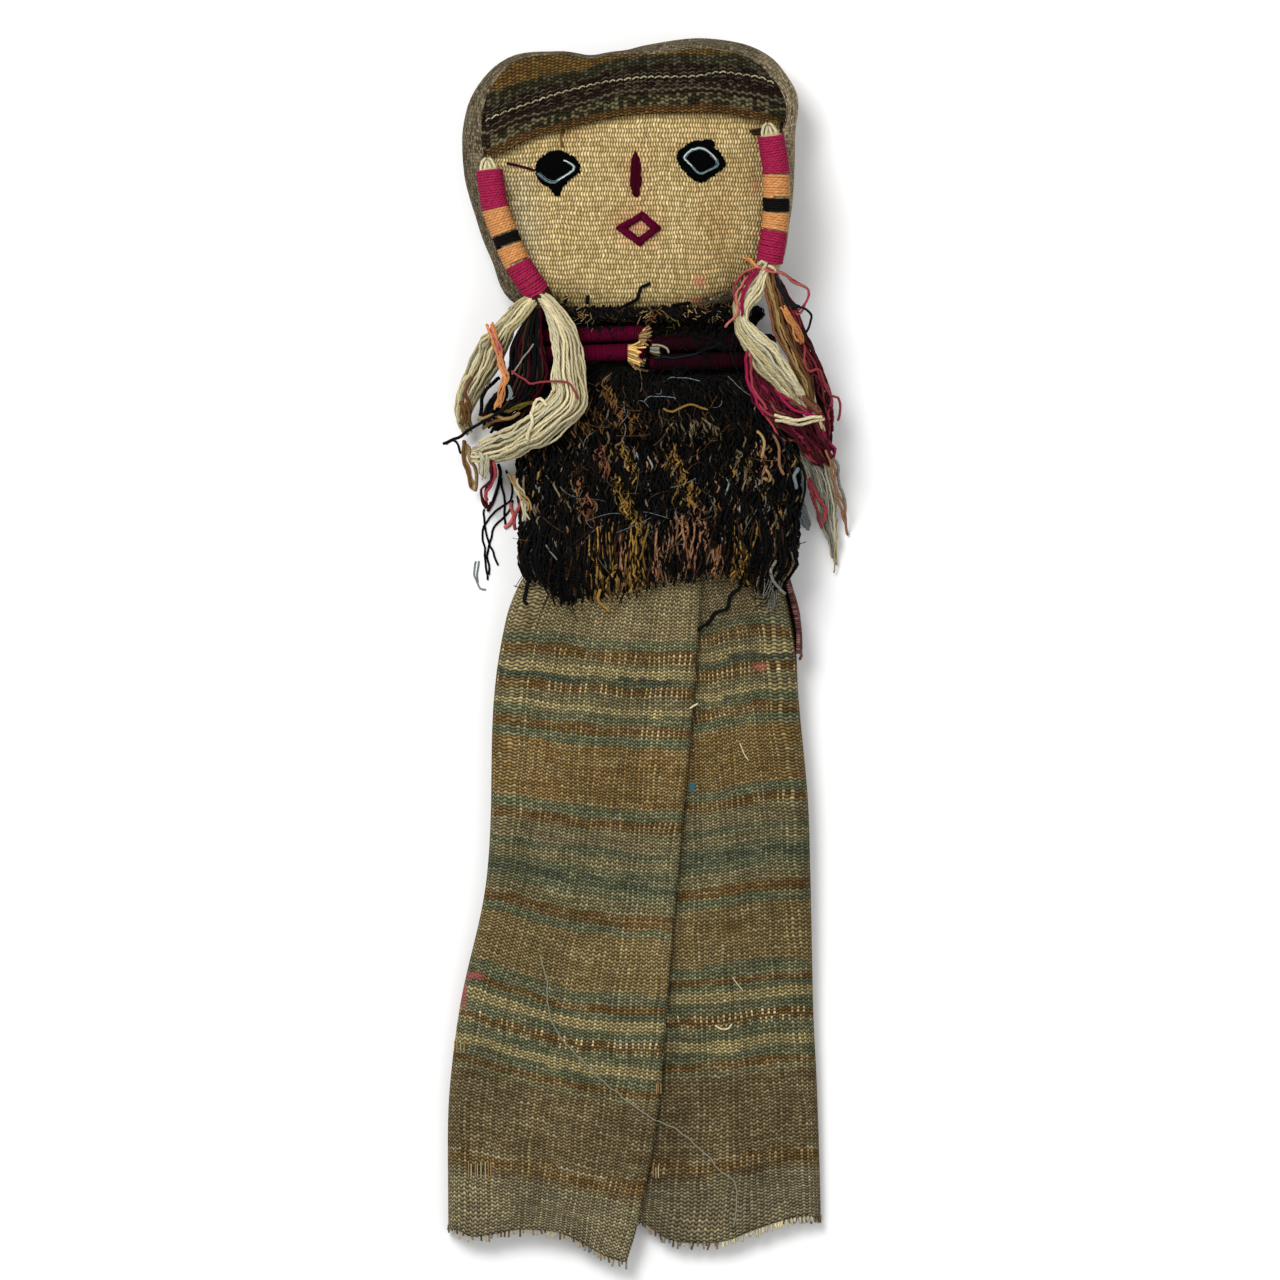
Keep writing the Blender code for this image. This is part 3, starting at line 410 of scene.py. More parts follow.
def curve_through(points, spacing):
    """Points at about one spacing along a smooth curve through the given points."""
    points = [Vector(point) for point in points]
    made = []
    for i in range(len(points) - 1):
        before = points[max(i - 1, 0)]
        start = points[i]
        end = points[i + 1]
        after = points[min(i + 2, len(points) - 1)]
        steps = max(1, round((end - start).length / spacing))
        for k in range(steps):
            t = k / steps
            pull = (end - before) * (t * (1 - t) ** 2) - (after - start) * (t * t * (1 - t))
            made.append(start.lerp(end, t * t * (3 - 2 * t)) + pull * 0.5)
    made.append(points[-1])
    return made


# Meshes


def add_piece(name, mesh, material, slot, *nodes):
    """Put a finished mesh in the scene as a piece of the doll."""
    piece = bpy.data.objects.new(name, mesh)
    bpy.context.scene.collection.objects.link(piece)
    mesh.materials.append(material)
    mesh.shade_smooth()
    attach(piece, "root")
    if nodes:
        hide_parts(*nodes)
    return piece


def finish_mesh(shape, name):
    """Write a bmesh into a new mesh."""
    mesh = bpy.data.meshes.new(name)
    shape.to_mesh(mesh)
    shape.free()
    return mesh


def cloth_grid(name, columns, rows, place, flat):
    """A sheet of quads. place and flat take a column and a row, and give the point there and
    its place in metres on the cloth before it was bent."""
    shape = bmesh.new()
    bmesh.ops.create_grid(shape, x_segments=columns, y_segments=rows, size=0.5)
    layer = shape.loops.layers.uv.new("cloth")
    spots = {}
    for vert in shape.verts:
        column = round((vert.co.x + 0.5) * columns)
        row = round((vert.co.y + 0.5) * rows)
        spots[vert] = flat(column, row)
        vert.co = place(column, row)
    for face in shape.faces:
        for loop in face.loops:
            loop[layer].uv = spots[loop.vert]
    return finish_mesh(shape, name)


def cloth_sleeve(name, columns, rows, place, width):
    """A sheet closed round a body. place takes a share round it and a share down it."""
    shape = bmesh.new()
    bmesh.ops.create_cone(shape, cap_ends=False, segments=columns, radius1=1.0, radius2=1.0,
                          depth=1.0)
    uprights = [e for e in shape.edges if abs(e.verts[0].co.z - e.verts[1].co.z) > 0.5]
    bmesh.ops.subdivide_edges(shape, edges=uprights, cuts=rows - 1)
    layer = shape.loops.layers.uv.new("cloth")
    spots = {}
    for vert in shape.verts:
        share = (math.atan2(vert.co.y, vert.co.x) / math.tau) % 1.0
        spots[vert] = (share, 0.5 - vert.co.z)
    for face in shape.faces:
        shares = [spots[loop.vert][0] for loop in face.loops]
        for loop in face.loops:
            share, down = spots[loop.vert]
            if max(shares) - share > 0.5:
                share += 1.0
            loop[layer].uv = (share * width, down * width)
    for vert in shape.verts:
        vert.co = place(*spots[vert])
    bmesh.ops.recalc_face_normals(shape, faces=shape.faces)
    return finish_mesh(shape, name)


def thicken(piece, thickness, offset):
    """Give a sheet of cloth its thickness."""
    solidify = piece.modifiers.new("Cloth", "SOLIDIFY")
    solidify.thickness = thickness
    solidify.offset = offset
    solidify.use_even_offset = True


def surface_of(*pieces):
    """What yarns can be laid on."""
    depsgraph = bpy.context.evaluated_depsgraph_get()
    return [BVHTree.FromObject(piece, depsgraph) for piece in pieces]


def height_at(surfaces, x, y):
    """How high the topmost of some surfaces is at x, y; the ground is at 0."""
    top = 0.0
    for surface in surfaces:
        hit = surface.ray_cast(Vector((x, y, 0.2)), DOWN)[0]
        if hit is not None and hit.z > top:
            top = hit.z
    return top


def yarn_mesh(name, strands, sides=6):
    """Yarns as one mesh. A strand is its points, its radius and its dye. Each point keeps its
    dye, its distance along the yarn and its place round it."""
    curve = bpy.data.curves.new(name, "CURVE")
    curve.dimensions = "3D"
    curve.bevel_depth = 1.0
    curve.bevel_resolution = (sides - 4) // 2
    dyes = []
    runs = []
    turns = np.arange(sides) * (math.tau / sides)
    ring = np.stack([np.cos(turns), np.sin(turns)], axis=1)
    for points, radius, dye in strands:
        tip = (points[0] - points[1]).normalized() * (0.5 * radius)
        tail = (points[-1] - points[-2]).normalized() * (0.5 * radius)
        points = [points[0] + tip] + list(points) + [points[-1] + tail]
        count = len(points)
        place = np.ones((count, 4))
        place[:, :3] = points
        radii = np.full(count, radius)
        radii[0] = 0.0
        radii[-1] = 0.0
        spline = curve.splines.new("POLY")
        spline.points.add(count - 1)
        spline.points.foreach_set("co", place.ravel())
        spline.points.foreach_set("radius", radii)
        steps = np.linalg.norm(np.diff(place[:, :3], axis=0), axis=1)
        along = np.concatenate([[0.0], np.cumsum(steps)]) + 7.31 * len(runs) * MM
        run = np.zeros((count, sides, 3))
        run[:, :, 0] = along[:, None]
        run[:, :, 1:] = ring[None, :, :]
        runs.append(run.reshape(-1, 3))
        dyes.append(np.tile((*dye, 1.0), (count * sides, 1)))
    holder = bpy.data.objects.new(name, curve)
    bpy.context.scene.collection.objects.link(holder)
    evaluated = holder.evaluated_get(bpy.context.evaluated_depsgraph_get())
    mesh = bpy.data.meshes.new_from_object(evaluated)
    bpy.data.objects.remove(holder)
    bpy.data.curves.remove(curve)
    colour = mesh.attributes.new("dye", "FLOAT_COLOR", "POINT")
    colour.data.foreach_set("color", np.concatenate(dyes).ravel())
    lay = mesh.attributes.new("run", "FLOAT_VECTOR", "POINT")
    lay.data.foreach_set("vector", np.concatenate(runs).ravel())
    shape = bmesh.new()
    shape.from_mesh(mesh)
    bmesh.ops.remove_doubles(shape, verts=shape.verts, dist=0.000001)
    bmesh.ops.recalc_face_normals(shape, faces=shape.faces)
    shape.to_mesh(mesh)
    shape.free()
    mesh.name = name
    return mesh


def shade(dye, rng, spread=0.25):
    """A dye by name, a little lighter or darker for each yarn."""
    level = 1.0 + rng.uniform(-spread, spread)
    return tuple(part * level for part in DYES[dye])


def pick(rng, mix):
    """One name out of a mix of (name, weight)."""
    names = [name for name, weight in mix]
    return rng.choices(names, [weight for name, weight in mix])[0]


def laid_yarn(route, surfaces, radius, dye, rng, lift=0.0, wobble=0.0, spacing=0.9 * MM):
    """A yarn along a route of photograph pixels, resting on the surfaces below it."""
    flat = curve_through([(*photo(*spot), 0.0) for spot in route], spacing)
    phase = rng.uniform(0.0, 100.0)
    for k, point in enumerate(flat):
        drift = noise.noise_vector(Vector((phase + k * 0.35, 0.0, 0.0)))
        point.x += wobble * drift.x
        point.y += wobble * drift.y
    heights = [height_at(surfaces, point.x, point.y) for point in flat]
    last = len(flat) - 1
    for order in (range(1, last + 1), range(last - 1, -1, -1)):
        for k in order:
            before = k - 1 if order.step > 0 else k + 1
            reach = (flat[k] - flat[before]).length
            heights[k] = max(heights[k], heights[before] - YARN_SLOPE * reach)
    tops = [max(heights[max(k - 1, 0):k + 2]) for k in range(last + 1)]
    for k, point in enumerate(flat):
        near = tops[max(k - 2, 0):k + 3]
        point.z = sum(near) / len(near) + radius + lift
    return flat, radius, shade(dye, rng, 0.2)


def laid_strands(group, surfaces, rng, wobble):
    """Yarns laid along their routes; a thick one is a bundle of thin ones."""
    strands = []
    for route, radius, dye in group:
        if radius <= 0.55:
            strands.append(laid_yarn(route, surfaces, radius * MM, dye, rng, wobble=wobble))
            continue
        for k in range(max(3, round(7 * radius * radius))):
            spread = rng.uniform(-1.0, 1.0) * (radius - 0.25) / (PIXEL / MM)
            slant = rng.uniform(-0.5, 0.5)
            moved = [(px + spread, py + spread * slant) for px, py in route]
            lift = rng.uniform(0.0, 0.7) * radius * MM
            strands.append(laid_yarn(moved, surfaces, 0.27 * MM, dye, rng, lift, 1.6 * wobble))
    return strands


def lock_yarns(stations, count, radius, mix, rng, spacing=1.2 * MM, curl=0.25, ragged=0.12,
               wave=1.0 * MM):
    """Yarns that run along a lock, each in its own place in the lock's oval section."""
    middles = curve_through([Vector(station[:3]) * MM for station in stations], spacing)
    last = len(middles) - 1
    widths = [(k, station[3]) for k, station in enumerate(stations)]
    heights = [(k, station[4]) for k, station in enumerate(stations)]
    reach = [(middles[k] - middles[max(k - 1, 0)]).length for k in range(last + 1)]
    travel = np.cumsum(reach) / sum(reach)
    knots = [0.0]
    for k in range(1, len(stations)):
        step = (Vector(stations[k][:3]) - Vector(stations[k - 1][:3])).length
        knots.append(knots[-1] + step)
    knots = [knot / knots[-1] for knot in knots]
    strands = []
    for n in range(count):
        spiral = n * 2.39996
        out = math.sqrt((n + 0.5) / count)
        phase = rng.uniform(0.0, 100.0)
        first = 0
        stop = last - int(last * ragged * rng.random())
        points = []
        for k in range(first, stop + 1):
            place = float(np.interp(travel[k], knots, range(len(knots))))
            half_width = smooth_value(widths, place) * MM - radius * 0.6
            half_height = smooth_value(heights, place) * MM - radius * 0.6
            along = middles[min(k + 1, last)] - middles[max(k - 1, 0)]
            across = along.cross(UP).normalized()
            up = across.cross(along).normalized()
            drift = noise.noise_vector(Vector((phase + travel[k] * 5.0, n * 0.7, 0.0)))
            turn = spiral + 0.5 * travel[k]
            sideways = out * math.cos(turn) + curl * drift.x
            upward = out * math.sin(turn) + curl * drift.y
            point = middles[k] + across * (half_width * sideways) + up * (half_height * upward)
            shared = noise.noise_vector(point * 130.0)
            own = noise.noise_vector(Vector((phase, travel[k] * len(middles) * 0.4, 0.0)))
            point = point + (shared * 0.9 + own * 0.45) * wave
            point.z = max(point.z, radius)
            points.append(point)
        strands.append((points, radius * rng.uniform(0.85, 1.15), shade(pick(rng, mix), rng)))
    return strands


def tuft(root, heading, length, radius, dye, rng, steps=5, bend=0.5):
    """A short yarn from a root along a heading, with a bend of its own."""
    side = Vector((rng.uniform(-1, 1), rng.uniform(-1, 1), rng.uniform(-0.4, 0.4)))
    points = []
    for k in range(steps + 1):
        t = k / steps
        points.append(root + heading * (length * t) + side * (bend * length * t * t))
    return points, radius, dye


def wound_yarn(axis, radius, yarn_radius, pitch, dye, reference, rng, steps=14):
    """A yarn wound closely round an axis of points."""
    lengths = [0.0]
    for k in range(1, len(axis)):
        lengths.append(lengths[-1] + (axis[k] - axis[k - 1]).length)
    total = lengths[-1]
    count = int(total / pitch * steps)
    coordinates = np.array(axis)
    phase = rng.uniform(0.0, 100.0)
    points = []
    for n in range(count + 1):
        distance = total * n / count
        index = float(np.interp(distance, lengths, range(len(axis))))
        low = min(int(index), len(axis) - 2)
        centre = Vector(coordinates[low]).lerp(Vector(coordinates[low + 1]), index - low)
        along = (axis[low + 1] - axis[low]).normalized()
        across = along.cross(reference).normalized()
        up = across.cross(along)
        turn = math.tau * n / steps
        uneven = noise.noise(Vector((phase + n * 0.09, 0.0, 0.0)))
        reach = radius - yarn_radius + 0.10 * MM * uneven
        slip = along * (0.22 * pitch * noise.noise(Vector((phase - n * 0.07, 3.0, 0.0))))
        points.append(centre + slip + across * (reach * math.cos(turn)) + up * (reach * math.sin(turn)))
    return points, yarn_radius, dye


def fill_stitches(centre, outline, angle, spacing, radius, dye, surfaces, rng, lift):
    """Satin stitches that fill an outline, side by side at an angle."""
    turn = math.radians(angle)
    along = (math.cos(turn), math.sin(turn))
    across = (-along[1], along[0])
    corners = []
    for x, y in outline:
        corners.append((x * along[0] + y * along[1], x * across[0] + y * across[1]))
    level = min(corner[1] for corner in corners) + 0.4 * spacing
    top = max(corner[1] for corner in corners)
    strands = []
    while level < top:
        cuts = []
        for k, (s1, t1) in enumerate(corners):
            s0, t0 = corners[k - 1]
            if (t0 <= level) != (t1 <= level):
                cuts.append(s0 + (s1 - s0) * (level - t0) / (t1 - t0))
        cuts.sort()
        for start, end in zip(cuts[::2], cuts[1::2]):
            start -= rng.uniform(-0.1, 0.35)
            end += rng.uniform(-0.1, 0.35)
            steps = max(3, round((end - start) / 1.0))
            points = []
            for k in range(steps + 1):
                t = k / steps
                s = start + (end - start) * t
                x = (centre[0] + s * along[0] + level * across[0]) * MM
                y = (centre[1] + s * along[1] + level * across[1]) * MM
                arch = math.sin(math.pi * t) ** 0.5
                points.append(Vector((x, y, height_at(surfaces, x, y) + lift * arch)))
            strands.append((points, radius, shade(dye, rng, 0.3)))
        level += spacing
    return strands


# Shader nodes


def feed(tree, socket, value):
    """Link a socket to a value that varies, or set it to one that doesn't."""
    if isinstance(value, bpy.types.NodeSocket):
        tree.links.new(value, socket)
    elif isinstance(value, tuple) and len(value) == 3 and socket.type == "RGBA":
        socket.default_value = (*value, 1.0)
    else:
        socket.default_value = value


def add_node(tree, kind, inputs=None, **settings):
    """A node with its settings and its inputs."""
    made = tree.nodes.new(kind)
    for key, value in settings.items():
        setattr(made, key, value)
    for key, value in (inputs or {}).items():
        feed(tree, made.inputs[key], value)
    return made


def calc(tree, operation, first, second=0.0, third=0.0):
    """One step of arithmetic."""
    made = tree.nodes.new("ShaderNodeMath")
    made.operation = operation
    for socket, value in zip(made.inputs, (first, second, third)):
        feed(tree, socket, value)
    return made.outputs[0]


def mix_colour(tree, factor, first, second, mode="MIX"):
    """Two colours mixed by a factor."""
    made = tree.nodes.new("ShaderNodeMix")
    made.data_type = "RGBA"
    made.blend_type = mode
    feed(tree, made.inputs[0], factor)
    feed(tree, made.inputs[6], first)
    feed(tree, made.inputs[7], second)
    return made.outputs[2]


def lerp_value(tree, factor, low, high):
    """A value from low to high by a factor."""
    return calc(tree, "MULTIPLY_ADD", factor, high - low, low)


def within(tree, value, low, high, soft):
    """A mask that is 1 between low and high, with soft ends."""
    rise = calc(tree, "SMOOTH_MIN", 1.0, calc(tree, "DIVIDE", calc(tree, "SUBTRACT", value, low), soft), 0.1)
    fall = calc(tree, "SMOOTH_MIN", 1.0, calc(tree, "DIVIDE", calc(tree, "SUBTRACT", high, value), soft), 0.1)
    both = calc(tree, "MINIMUM", rise, fall)
    return calc(tree, "MAXIMUM", both, 0.0)


def new_group(name, inputs, outputs):
    """An empty shader node group, its inner inputs and its inner outputs."""
    group = bpy.data.node_groups.new(name, "ShaderNodeTree")
    for label, kind in inputs:
        group.interface.new_socket(label, in_out="INPUT", socket_type="NodeSocket" + kind)
    for label, kind in outputs:
        group.interface.new_socket(label, in_out="OUTPUT", socket_type="NodeSocket" + kind)
    entry = group.nodes.new("NodeGroupInput")
    end = group.nodes.new("NodeGroupOutput")
    return group, entry.outputs, end.inputs


def weave_group():
    """Rows of thread that wave over and under the columns of the other thread. The gaps say how
    much of the height is lost between columns and between rows."""
    group, given, result = new_group(
        "plain weave",
        (("Cloth", "Vector"), ("Column", "Float"), ("Row", "Float"), ("Wave", "Float"),
         ("Column Gap", "Float"), ("Row Gap", "Float")),
        (("Height", "Float"), ("Thread", "Float"), ("Row", "Float"), ("Streak", "Float"),
         ("Column", "Float"), ("Odd", "Float"), ("Across", "Float")),
    )
    slack = add_node(group, "ShaderNodeTexNoise", {"Vector": given["Cloth"], "Scale": 110.0})
    shift = add_node(group, "ShaderNodeVectorMath", {0: slack.outputs["Color"], 1: (0.5, 0.5, 0.5)},
                     operation="SUBTRACT")
    small = add_node(group, "ShaderNodeVectorMath", {0: shift.outputs[0]}, operation="SCALE")
    small.inputs["Scale"].default_value = 0.0022
    cloth = add_node(group, "ShaderNodeVectorMath", {0: given["Cloth"], 1: small.outputs[0]})
    parts = add_node(group, "ShaderNodeSeparateXYZ", {0: cloth.outputs[0]})
    across = calc(group, "DIVIDE", parts.outputs["X"], given["Column"])
    column = calc(group, "ROUND", across)
    odd = calc(group, "FLOORED_MODULO", column, 2.0)
    middle = calc(group, "SUBTRACT", across, column)
    wave = calc(group, "COSINE", calc(group, "MULTIPLY", across, math.pi))
    wave = calc(group, "MULTIPLY", wave, given["Wave"])
    along = calc(group, "ADD", calc(group, "DIVIDE", parts.outputs["Y"], given["Row"]), wave)
    row = calc(group, "FLOOR", along)
    in_row = calc(group, "SUBTRACT", calc(group, "SUBTRACT", along, row), 0.5)
    rib = calc(group, "COSINE", calc(group, "MULTIPLY", middle, math.pi))
    ridge = calc(group, "COSINE", calc(group, "MULTIPLY", in_row, math.pi))
    upright = calc(group, "SUBTRACT", 1.0, calc(group, "MAXIMUM", rib, 0.0))
    upright = calc(group, "MULTIPLY", upright, given["Column Gap"])
    level = calc(group, "SUBTRACT", 1.0, calc(group, "MAXIMUM", ridge, 0.0))
    level = calc(group, "MULTIPLY", level, given["Row Gap"])
    height = calc(group, "MULTIPLY", calc(group, "SUBTRACT", 1.0, upright),
                  calc(group, "SUBTRACT", 1.0, level))
    warp = add_node(group, "ShaderNodeTexWhiteNoise", {"W": column}, noise_dimensions="1D")
    spot = add_node(group, "ShaderNodeCombineXYZ", {"X": column, "Y": row})
    thread = add_node(group, "ShaderNodeTexWhiteNoise", {"Vector": spot.outputs[0]},
                      noise_dimensions="2D")
    row_spot = add_node(group, "ShaderNodeCombineXYZ",
                        {"X": calc(group, "MULTIPLY", parts.outputs["X"], 90.0),
                         "Y": calc(group, "MULTIPLY", row, 7.31)})
    streak = add_node(group, "ShaderNodeTexNoise", {"Vector": row_spot.outputs[0], "Scale": 1.0,
                                                    "Detail": 1.0})
    feed(group, result["Height"], height)
    feed(group, result["Thread"], thread.outputs["Value"])
    feed(group, result["Row"], calc(group, "MULTIPLY", calc(group, "ADD", row, 0.5), given["Row"]))
    feed(group, result["Streak"], streak.outputs["Fac"])
    feed(group, result["Column"], warp.outputs["Value"])
    feed(group, result["Odd"], odd)
    feed(group, result["Across"], middle)
    return group


def twist_group():
    """The twist of a yarn and its fibres, from its run: distance along and place round it."""
    group, given, result = new_group(
        "yarn twist", (("Run", "Vector"), ("Pitch", "Float")),
        (("Height", "Float"), ("Fibre", "Float")),
    )
    parts = add_node(group, "ShaderNodeSeparateXYZ", {0: given["Run"]})
    turn = calc(group, "DIVIDE", parts.outputs["X"], given["Pitch"])
    turn = calc(group, "MULTIPLY", turn, math.tau)
    lead = calc(group, "MULTIPLY", calc(group, "COSINE", turn), parts.outputs["Y"])
    lag = calc(group, "MULTIPLY", calc(group, "SINE", turn), parts.outputs["Z"])
    ridge = calc(group, "SUBTRACT", lead, lag)
    height = calc(group, "MULTIPLY", ridge, ridge)
    stretched = add_node(group, "ShaderNodeVectorMath",
                         {0: given["Run"], 1: (900.0, 2.5, 2.5)}, operation="MULTIPLY")
    fibre = add_node(group, "ShaderNodeTexNoise", {"Vector": stretched.outputs[0], "Scale": 1.0,
                                                   "Detail": 2.0})
    feed(group, result["Height"], height)
    feed(group, result["Fibre"], fibre.outputs["Fac"])
    return group


def age_group():
    """Old cloth: broad soft stains and a fine fuzz."""
    group, given, result = new_group(
        "old cloth", (("Place", "Vector"), ("Size", "Float")),
        (("Stain", "Float"), ("Fuzz", "Float")),
    )
    stain = add_node(group, "ShaderNodeTexNoise",
                     {"Vector": given["Place"], "Scale": calc(group, "DIVIDE", 1.0, given["Size"]),
                      "Detail": 3.0, "Roughness": 0.6})
    fuzz = add_node(group, "ShaderNodeTexNoise", {"Vector": given["Place"], "Scale": 2600.0,
                                                  "Detail": 2.0})
    feed(group, result["Stain"], stain.outputs["Fac"])
    feed(group, result["Fuzz"], fuzz.outputs["Fac"])
    return group


WEAVE = weave_group()
TWIST = twist_group()
AGE = age_group()


def use_group(tree, group, inputs):
    """One of the shared groups placed in a material."""
    made = tree.nodes.new("ShaderNodeGroup")
    made.node_tree = group
    for key, value in inputs.items():
        feed(tree, made.inputs[key], value)
    return made.outputs


def start_material(name, roughness, gloss):
    """A new material, its node tree and its shader."""
    material = bpy.data.materials.new(name)
    material.use_nodes = True
    tree = material.node_tree
    shader = tree.nodes["Principled BSDF"]
    shader.inputs["Roughness"].default_value = roughness
    shader.inputs["Specular IOR Level"].default_value = gloss
    return material, tree, shader


def add_relief(tree, shader, height, distance, strength=1.0):
    """Bump from a height."""
    bump = add_node(tree, "ShaderNodeBump", {"Height": height})
    bump.inputs["Distance"].default_value = distance
    bump.inputs["Strength"].default_value = strength
    tree.links.new(bump.outputs["Normal"], shader.inputs["Normal"])


def spot_mask(tree, place, centre, size):
    """A soft spot at a place of the photograph, width and height in millimetres."""
    x, y = photo(*centre)
    offset = add_node(tree, "ShaderNodeVectorMath", {0: place, 1: (x, y, 0.0)}, operation="SUBTRACT")
    scaled = add_node(tree, "ShaderNodeVectorMath",
                      {0: offset.outputs[0], 1: (2000.0 / size[0], 2000.0 / size[1], 0.0)},
                      operation="MULTIPLY")
    length = add_node(tree, "ShaderNodeVectorMath", {0: scaled.outputs[0]}, operation="LENGTH")
    inside = calc(tree, "SUBTRACT", 1.0, length.outputs["Value"])
    return calc(tree, "MAXIMUM", inside, 0.0)


def stripe_ramps(tree, position, stripes, length):
    """Stripes across a cloth: (where each ends in millimetres, its colour), bottom first. A ramp
    holds a limited number of them, so several ramps take turns."""
    colour = None
    start = 0.0
    for first in range(0, len(stripes), 28):
        part = stripes[first:first + 28]
        ramp = tree.nodes.new("ShaderNodeValToRGB")
        ramp.color_ramp.interpolation = "CONSTANT"
        feed(tree, ramp.inputs["Fac"], calc(tree, "DIVIDE", position, length * MM))
        low = start
        elements = ramp.color_ramp.elements
        elements[0].position = 0.0
        elements[0].color = (*part[0][1], 1.0)
        for k in range(1, len(part)):
            element = elements[1] if k == 1 else elements.new(0.999)
            element.position = part[k - 1][0] / length
            element.color = (*part[k][1], 1.0)
        start = part[-1][0]
        if colour is None:
            colour = ramp.outputs["Color"]
        else:
            above = calc(tree, "GREATER_THAN", position, low * MM)
            colour = mix_colour(tree, above, colour, ramp.outputs["Color"])
    return colour


def yarn_material(name, pitch=3.4, roughness=0.85, gloss=0.06, speckle=False,
                  fibres=(0.45, 1.55)):
    """Yarn coloured by its dye, with twist and fibres; speckled yarn is dark in parts."""
    material, tree, shader = start_material(name, roughness, gloss)
    dye = add_node(tree, "ShaderNodeAttribute", attribute_name="dye")
    run = add_node(tree, "ShaderNodeAttribute", attribute_name="run")
    twist = use_group(tree, TWIST, {"Run": run.outputs["Vector"], "Pitch": pitch * MM})
    # Darker in the grooves between the plies of the twist and lighter on the ridges: painted shade from the twist
    # height.
    tone = lerp_value(tree, twist["Height"], 0.82, 1.12)
    tone = calc(tree, "MULTIPLY", tone, lerp_value(tree, twist["Fibre"], *fibres))
    colour = mix_colour(tree, 1.0, dye.outputs["Color"], tone, "MULTIPLY")
    if speckle:
        place = add_node(tree, "ShaderNodeTexCoord").outputs["Object"]
        flat = add_node(tree, "ShaderNodeVectorMath", {0: place, 1: (900.0, 260.0, 500.0)},
                        operation="MULTIPLY")
        patch = add_node(tree, "ShaderNodeTexNoise", {"Vector": flat.outputs[0], "Scale": 1.0,
                                                      "Detail": 1.0})
        dark = calc(tree, "MULTIPLY", calc(tree, "SUBTRACT", 0.5, patch.outputs["Fac"]), 14.0)
        dark = calc(tree, "MINIMUM", calc(tree, "MAXIMUM", dark, 0.0), 1.0)
        colour = mix_colour(tree, dark, colour, (0.006, 0.005, 0.004))
    feed(tree, shader.inputs["Base Color"], colour)
    relief = calc(tree, "MULTIPLY_ADD", twist["Fibre"], 0.5, twist["Height"])
    add_relief(tree, shader, relief, 0.12 * MM, 0.8)
    return material


FACE_TAN = (0.47, 0.345, 0.145)


def face_material():
    """Cream face cloth: a firm plain weave stained by age, with painted shade in the gaps between its threads and
    in brown patches below the band and towards the right.
    """
    material, tree, shader = start_material("cream face cloth", 0.9, 0.08)
    place = add_node(tree, "ShaderNodeTexCoord").outputs["Object"]
    parts = add_node(tree, "ShaderNodeSeparateXYZ", {0: place})
    turned = add_node(tree, "ShaderNodeCombineXYZ", {"X": parts.outputs["Y"], "Y": parts.outputs["X"]})
    weave = use_group(tree, WEAVE, {"Cloth": turned.outputs[0], "Column": 1.26 * MM,
                                    "Row": 0.75 * MM, "Wave": 0.25, "Column Gap": 0.6,
                                    "Row Gap": 0.95})
    age = use_group(tree, AGE, {"Place": place, "Size": 16.0 * MM})
    base = mix_colour(tree, weave["Thread"], (0.335, 0.245, 0.095), (0.41, 0.31, 0.15))
    stain = calc(tree, "SUBTRACT", age["Stain"], 0.45)
    stain = calc(tree, "MULTIPLY", calc(tree, "MAXIMUM", stain, 0.0), 2.2)
    base = mix_colour(tree, calc(tree, "MINIMUM", stain, 0.7), base, (0.28, 0.18, 0.065))
    # Darker in the gaps between threads and lighter on their tops: painted shade from the weave height.
    tone = lerp_value(tree, weave["Height"], 0.05, 1.95)
    tone = calc(tree, "MULTIPLY", tone, lerp_value(tree, weave["Streak"], 0.85, 1.15))
    tone = calc(tree, "MULTIPLY", tone, lerp_value(tree, weave["Thread"], 0.8, 1.2))
    tone = calc(tree, "MULTIPLY", tone, lerp_value(tree, weave["Column"], 0.93, 1.07))
    # Three brown patches below the band and towards the right of the face are painted shade; the fourth, greyer
    # patch lies at the left edge.
    for centre, size, strength, dye in (((718, 225), (14.0, 44.0), 0.42, (0.27, 0.165, 0.06)),
                                        ((668, 150), (26.0, 14.0), 0.35, (0.27, 0.165, 0.06)),
                                        ((655, 240), (14.0, 30.0), 0.3, (0.27, 0.17, 0.065)),
                                        ((520, 230), (15.0, 44.0), 0.7, (0.33, 0.30, 0.195))):
        mask = calc(tree, "MULTIPLY", spot_mask(tree, place, centre, size), strength)
        streaky = calc(tree, "MULTIPLY", mask, lerp_value(tree, age["Stain"], 0.5, 1.5))
        base = mix_colour(tree, streaky, base, dye)
    colour = mix_colour(tree, 1.0, base, tone, "MULTIPLY")
    for centre, size, strength in (((700, 281), (4.5, 4.0), 0.75), ((755, 186), (2.6, 8.0), 0.4),
                                   ((638, 229), (17.0, 14.0), 0.32), ((635, 177), (7.0, 18.0), 0.25),
                                   ((697, 300), (7.0, 2.4), 0.5), ((765, 262), (2.0, 3.0), 0.5)):
        spot = spot_mask(tree, place, centre, size)
        mask = calc(tree, "MULTIPLY", spot, calc(tree, "MULTIPLY", weave["Thread"], strength * 2.0))
        colour = mix_colour(tree, calc(tree, "MINIMUM", mask, 0.9), colour, (0.52, 0.13, 0.10))
    feed(tree, shader.inputs["Base Color"], colour)
    add_relief(tree, shader, weave["Height"], 0.22 * MM, 0.9)
    return material


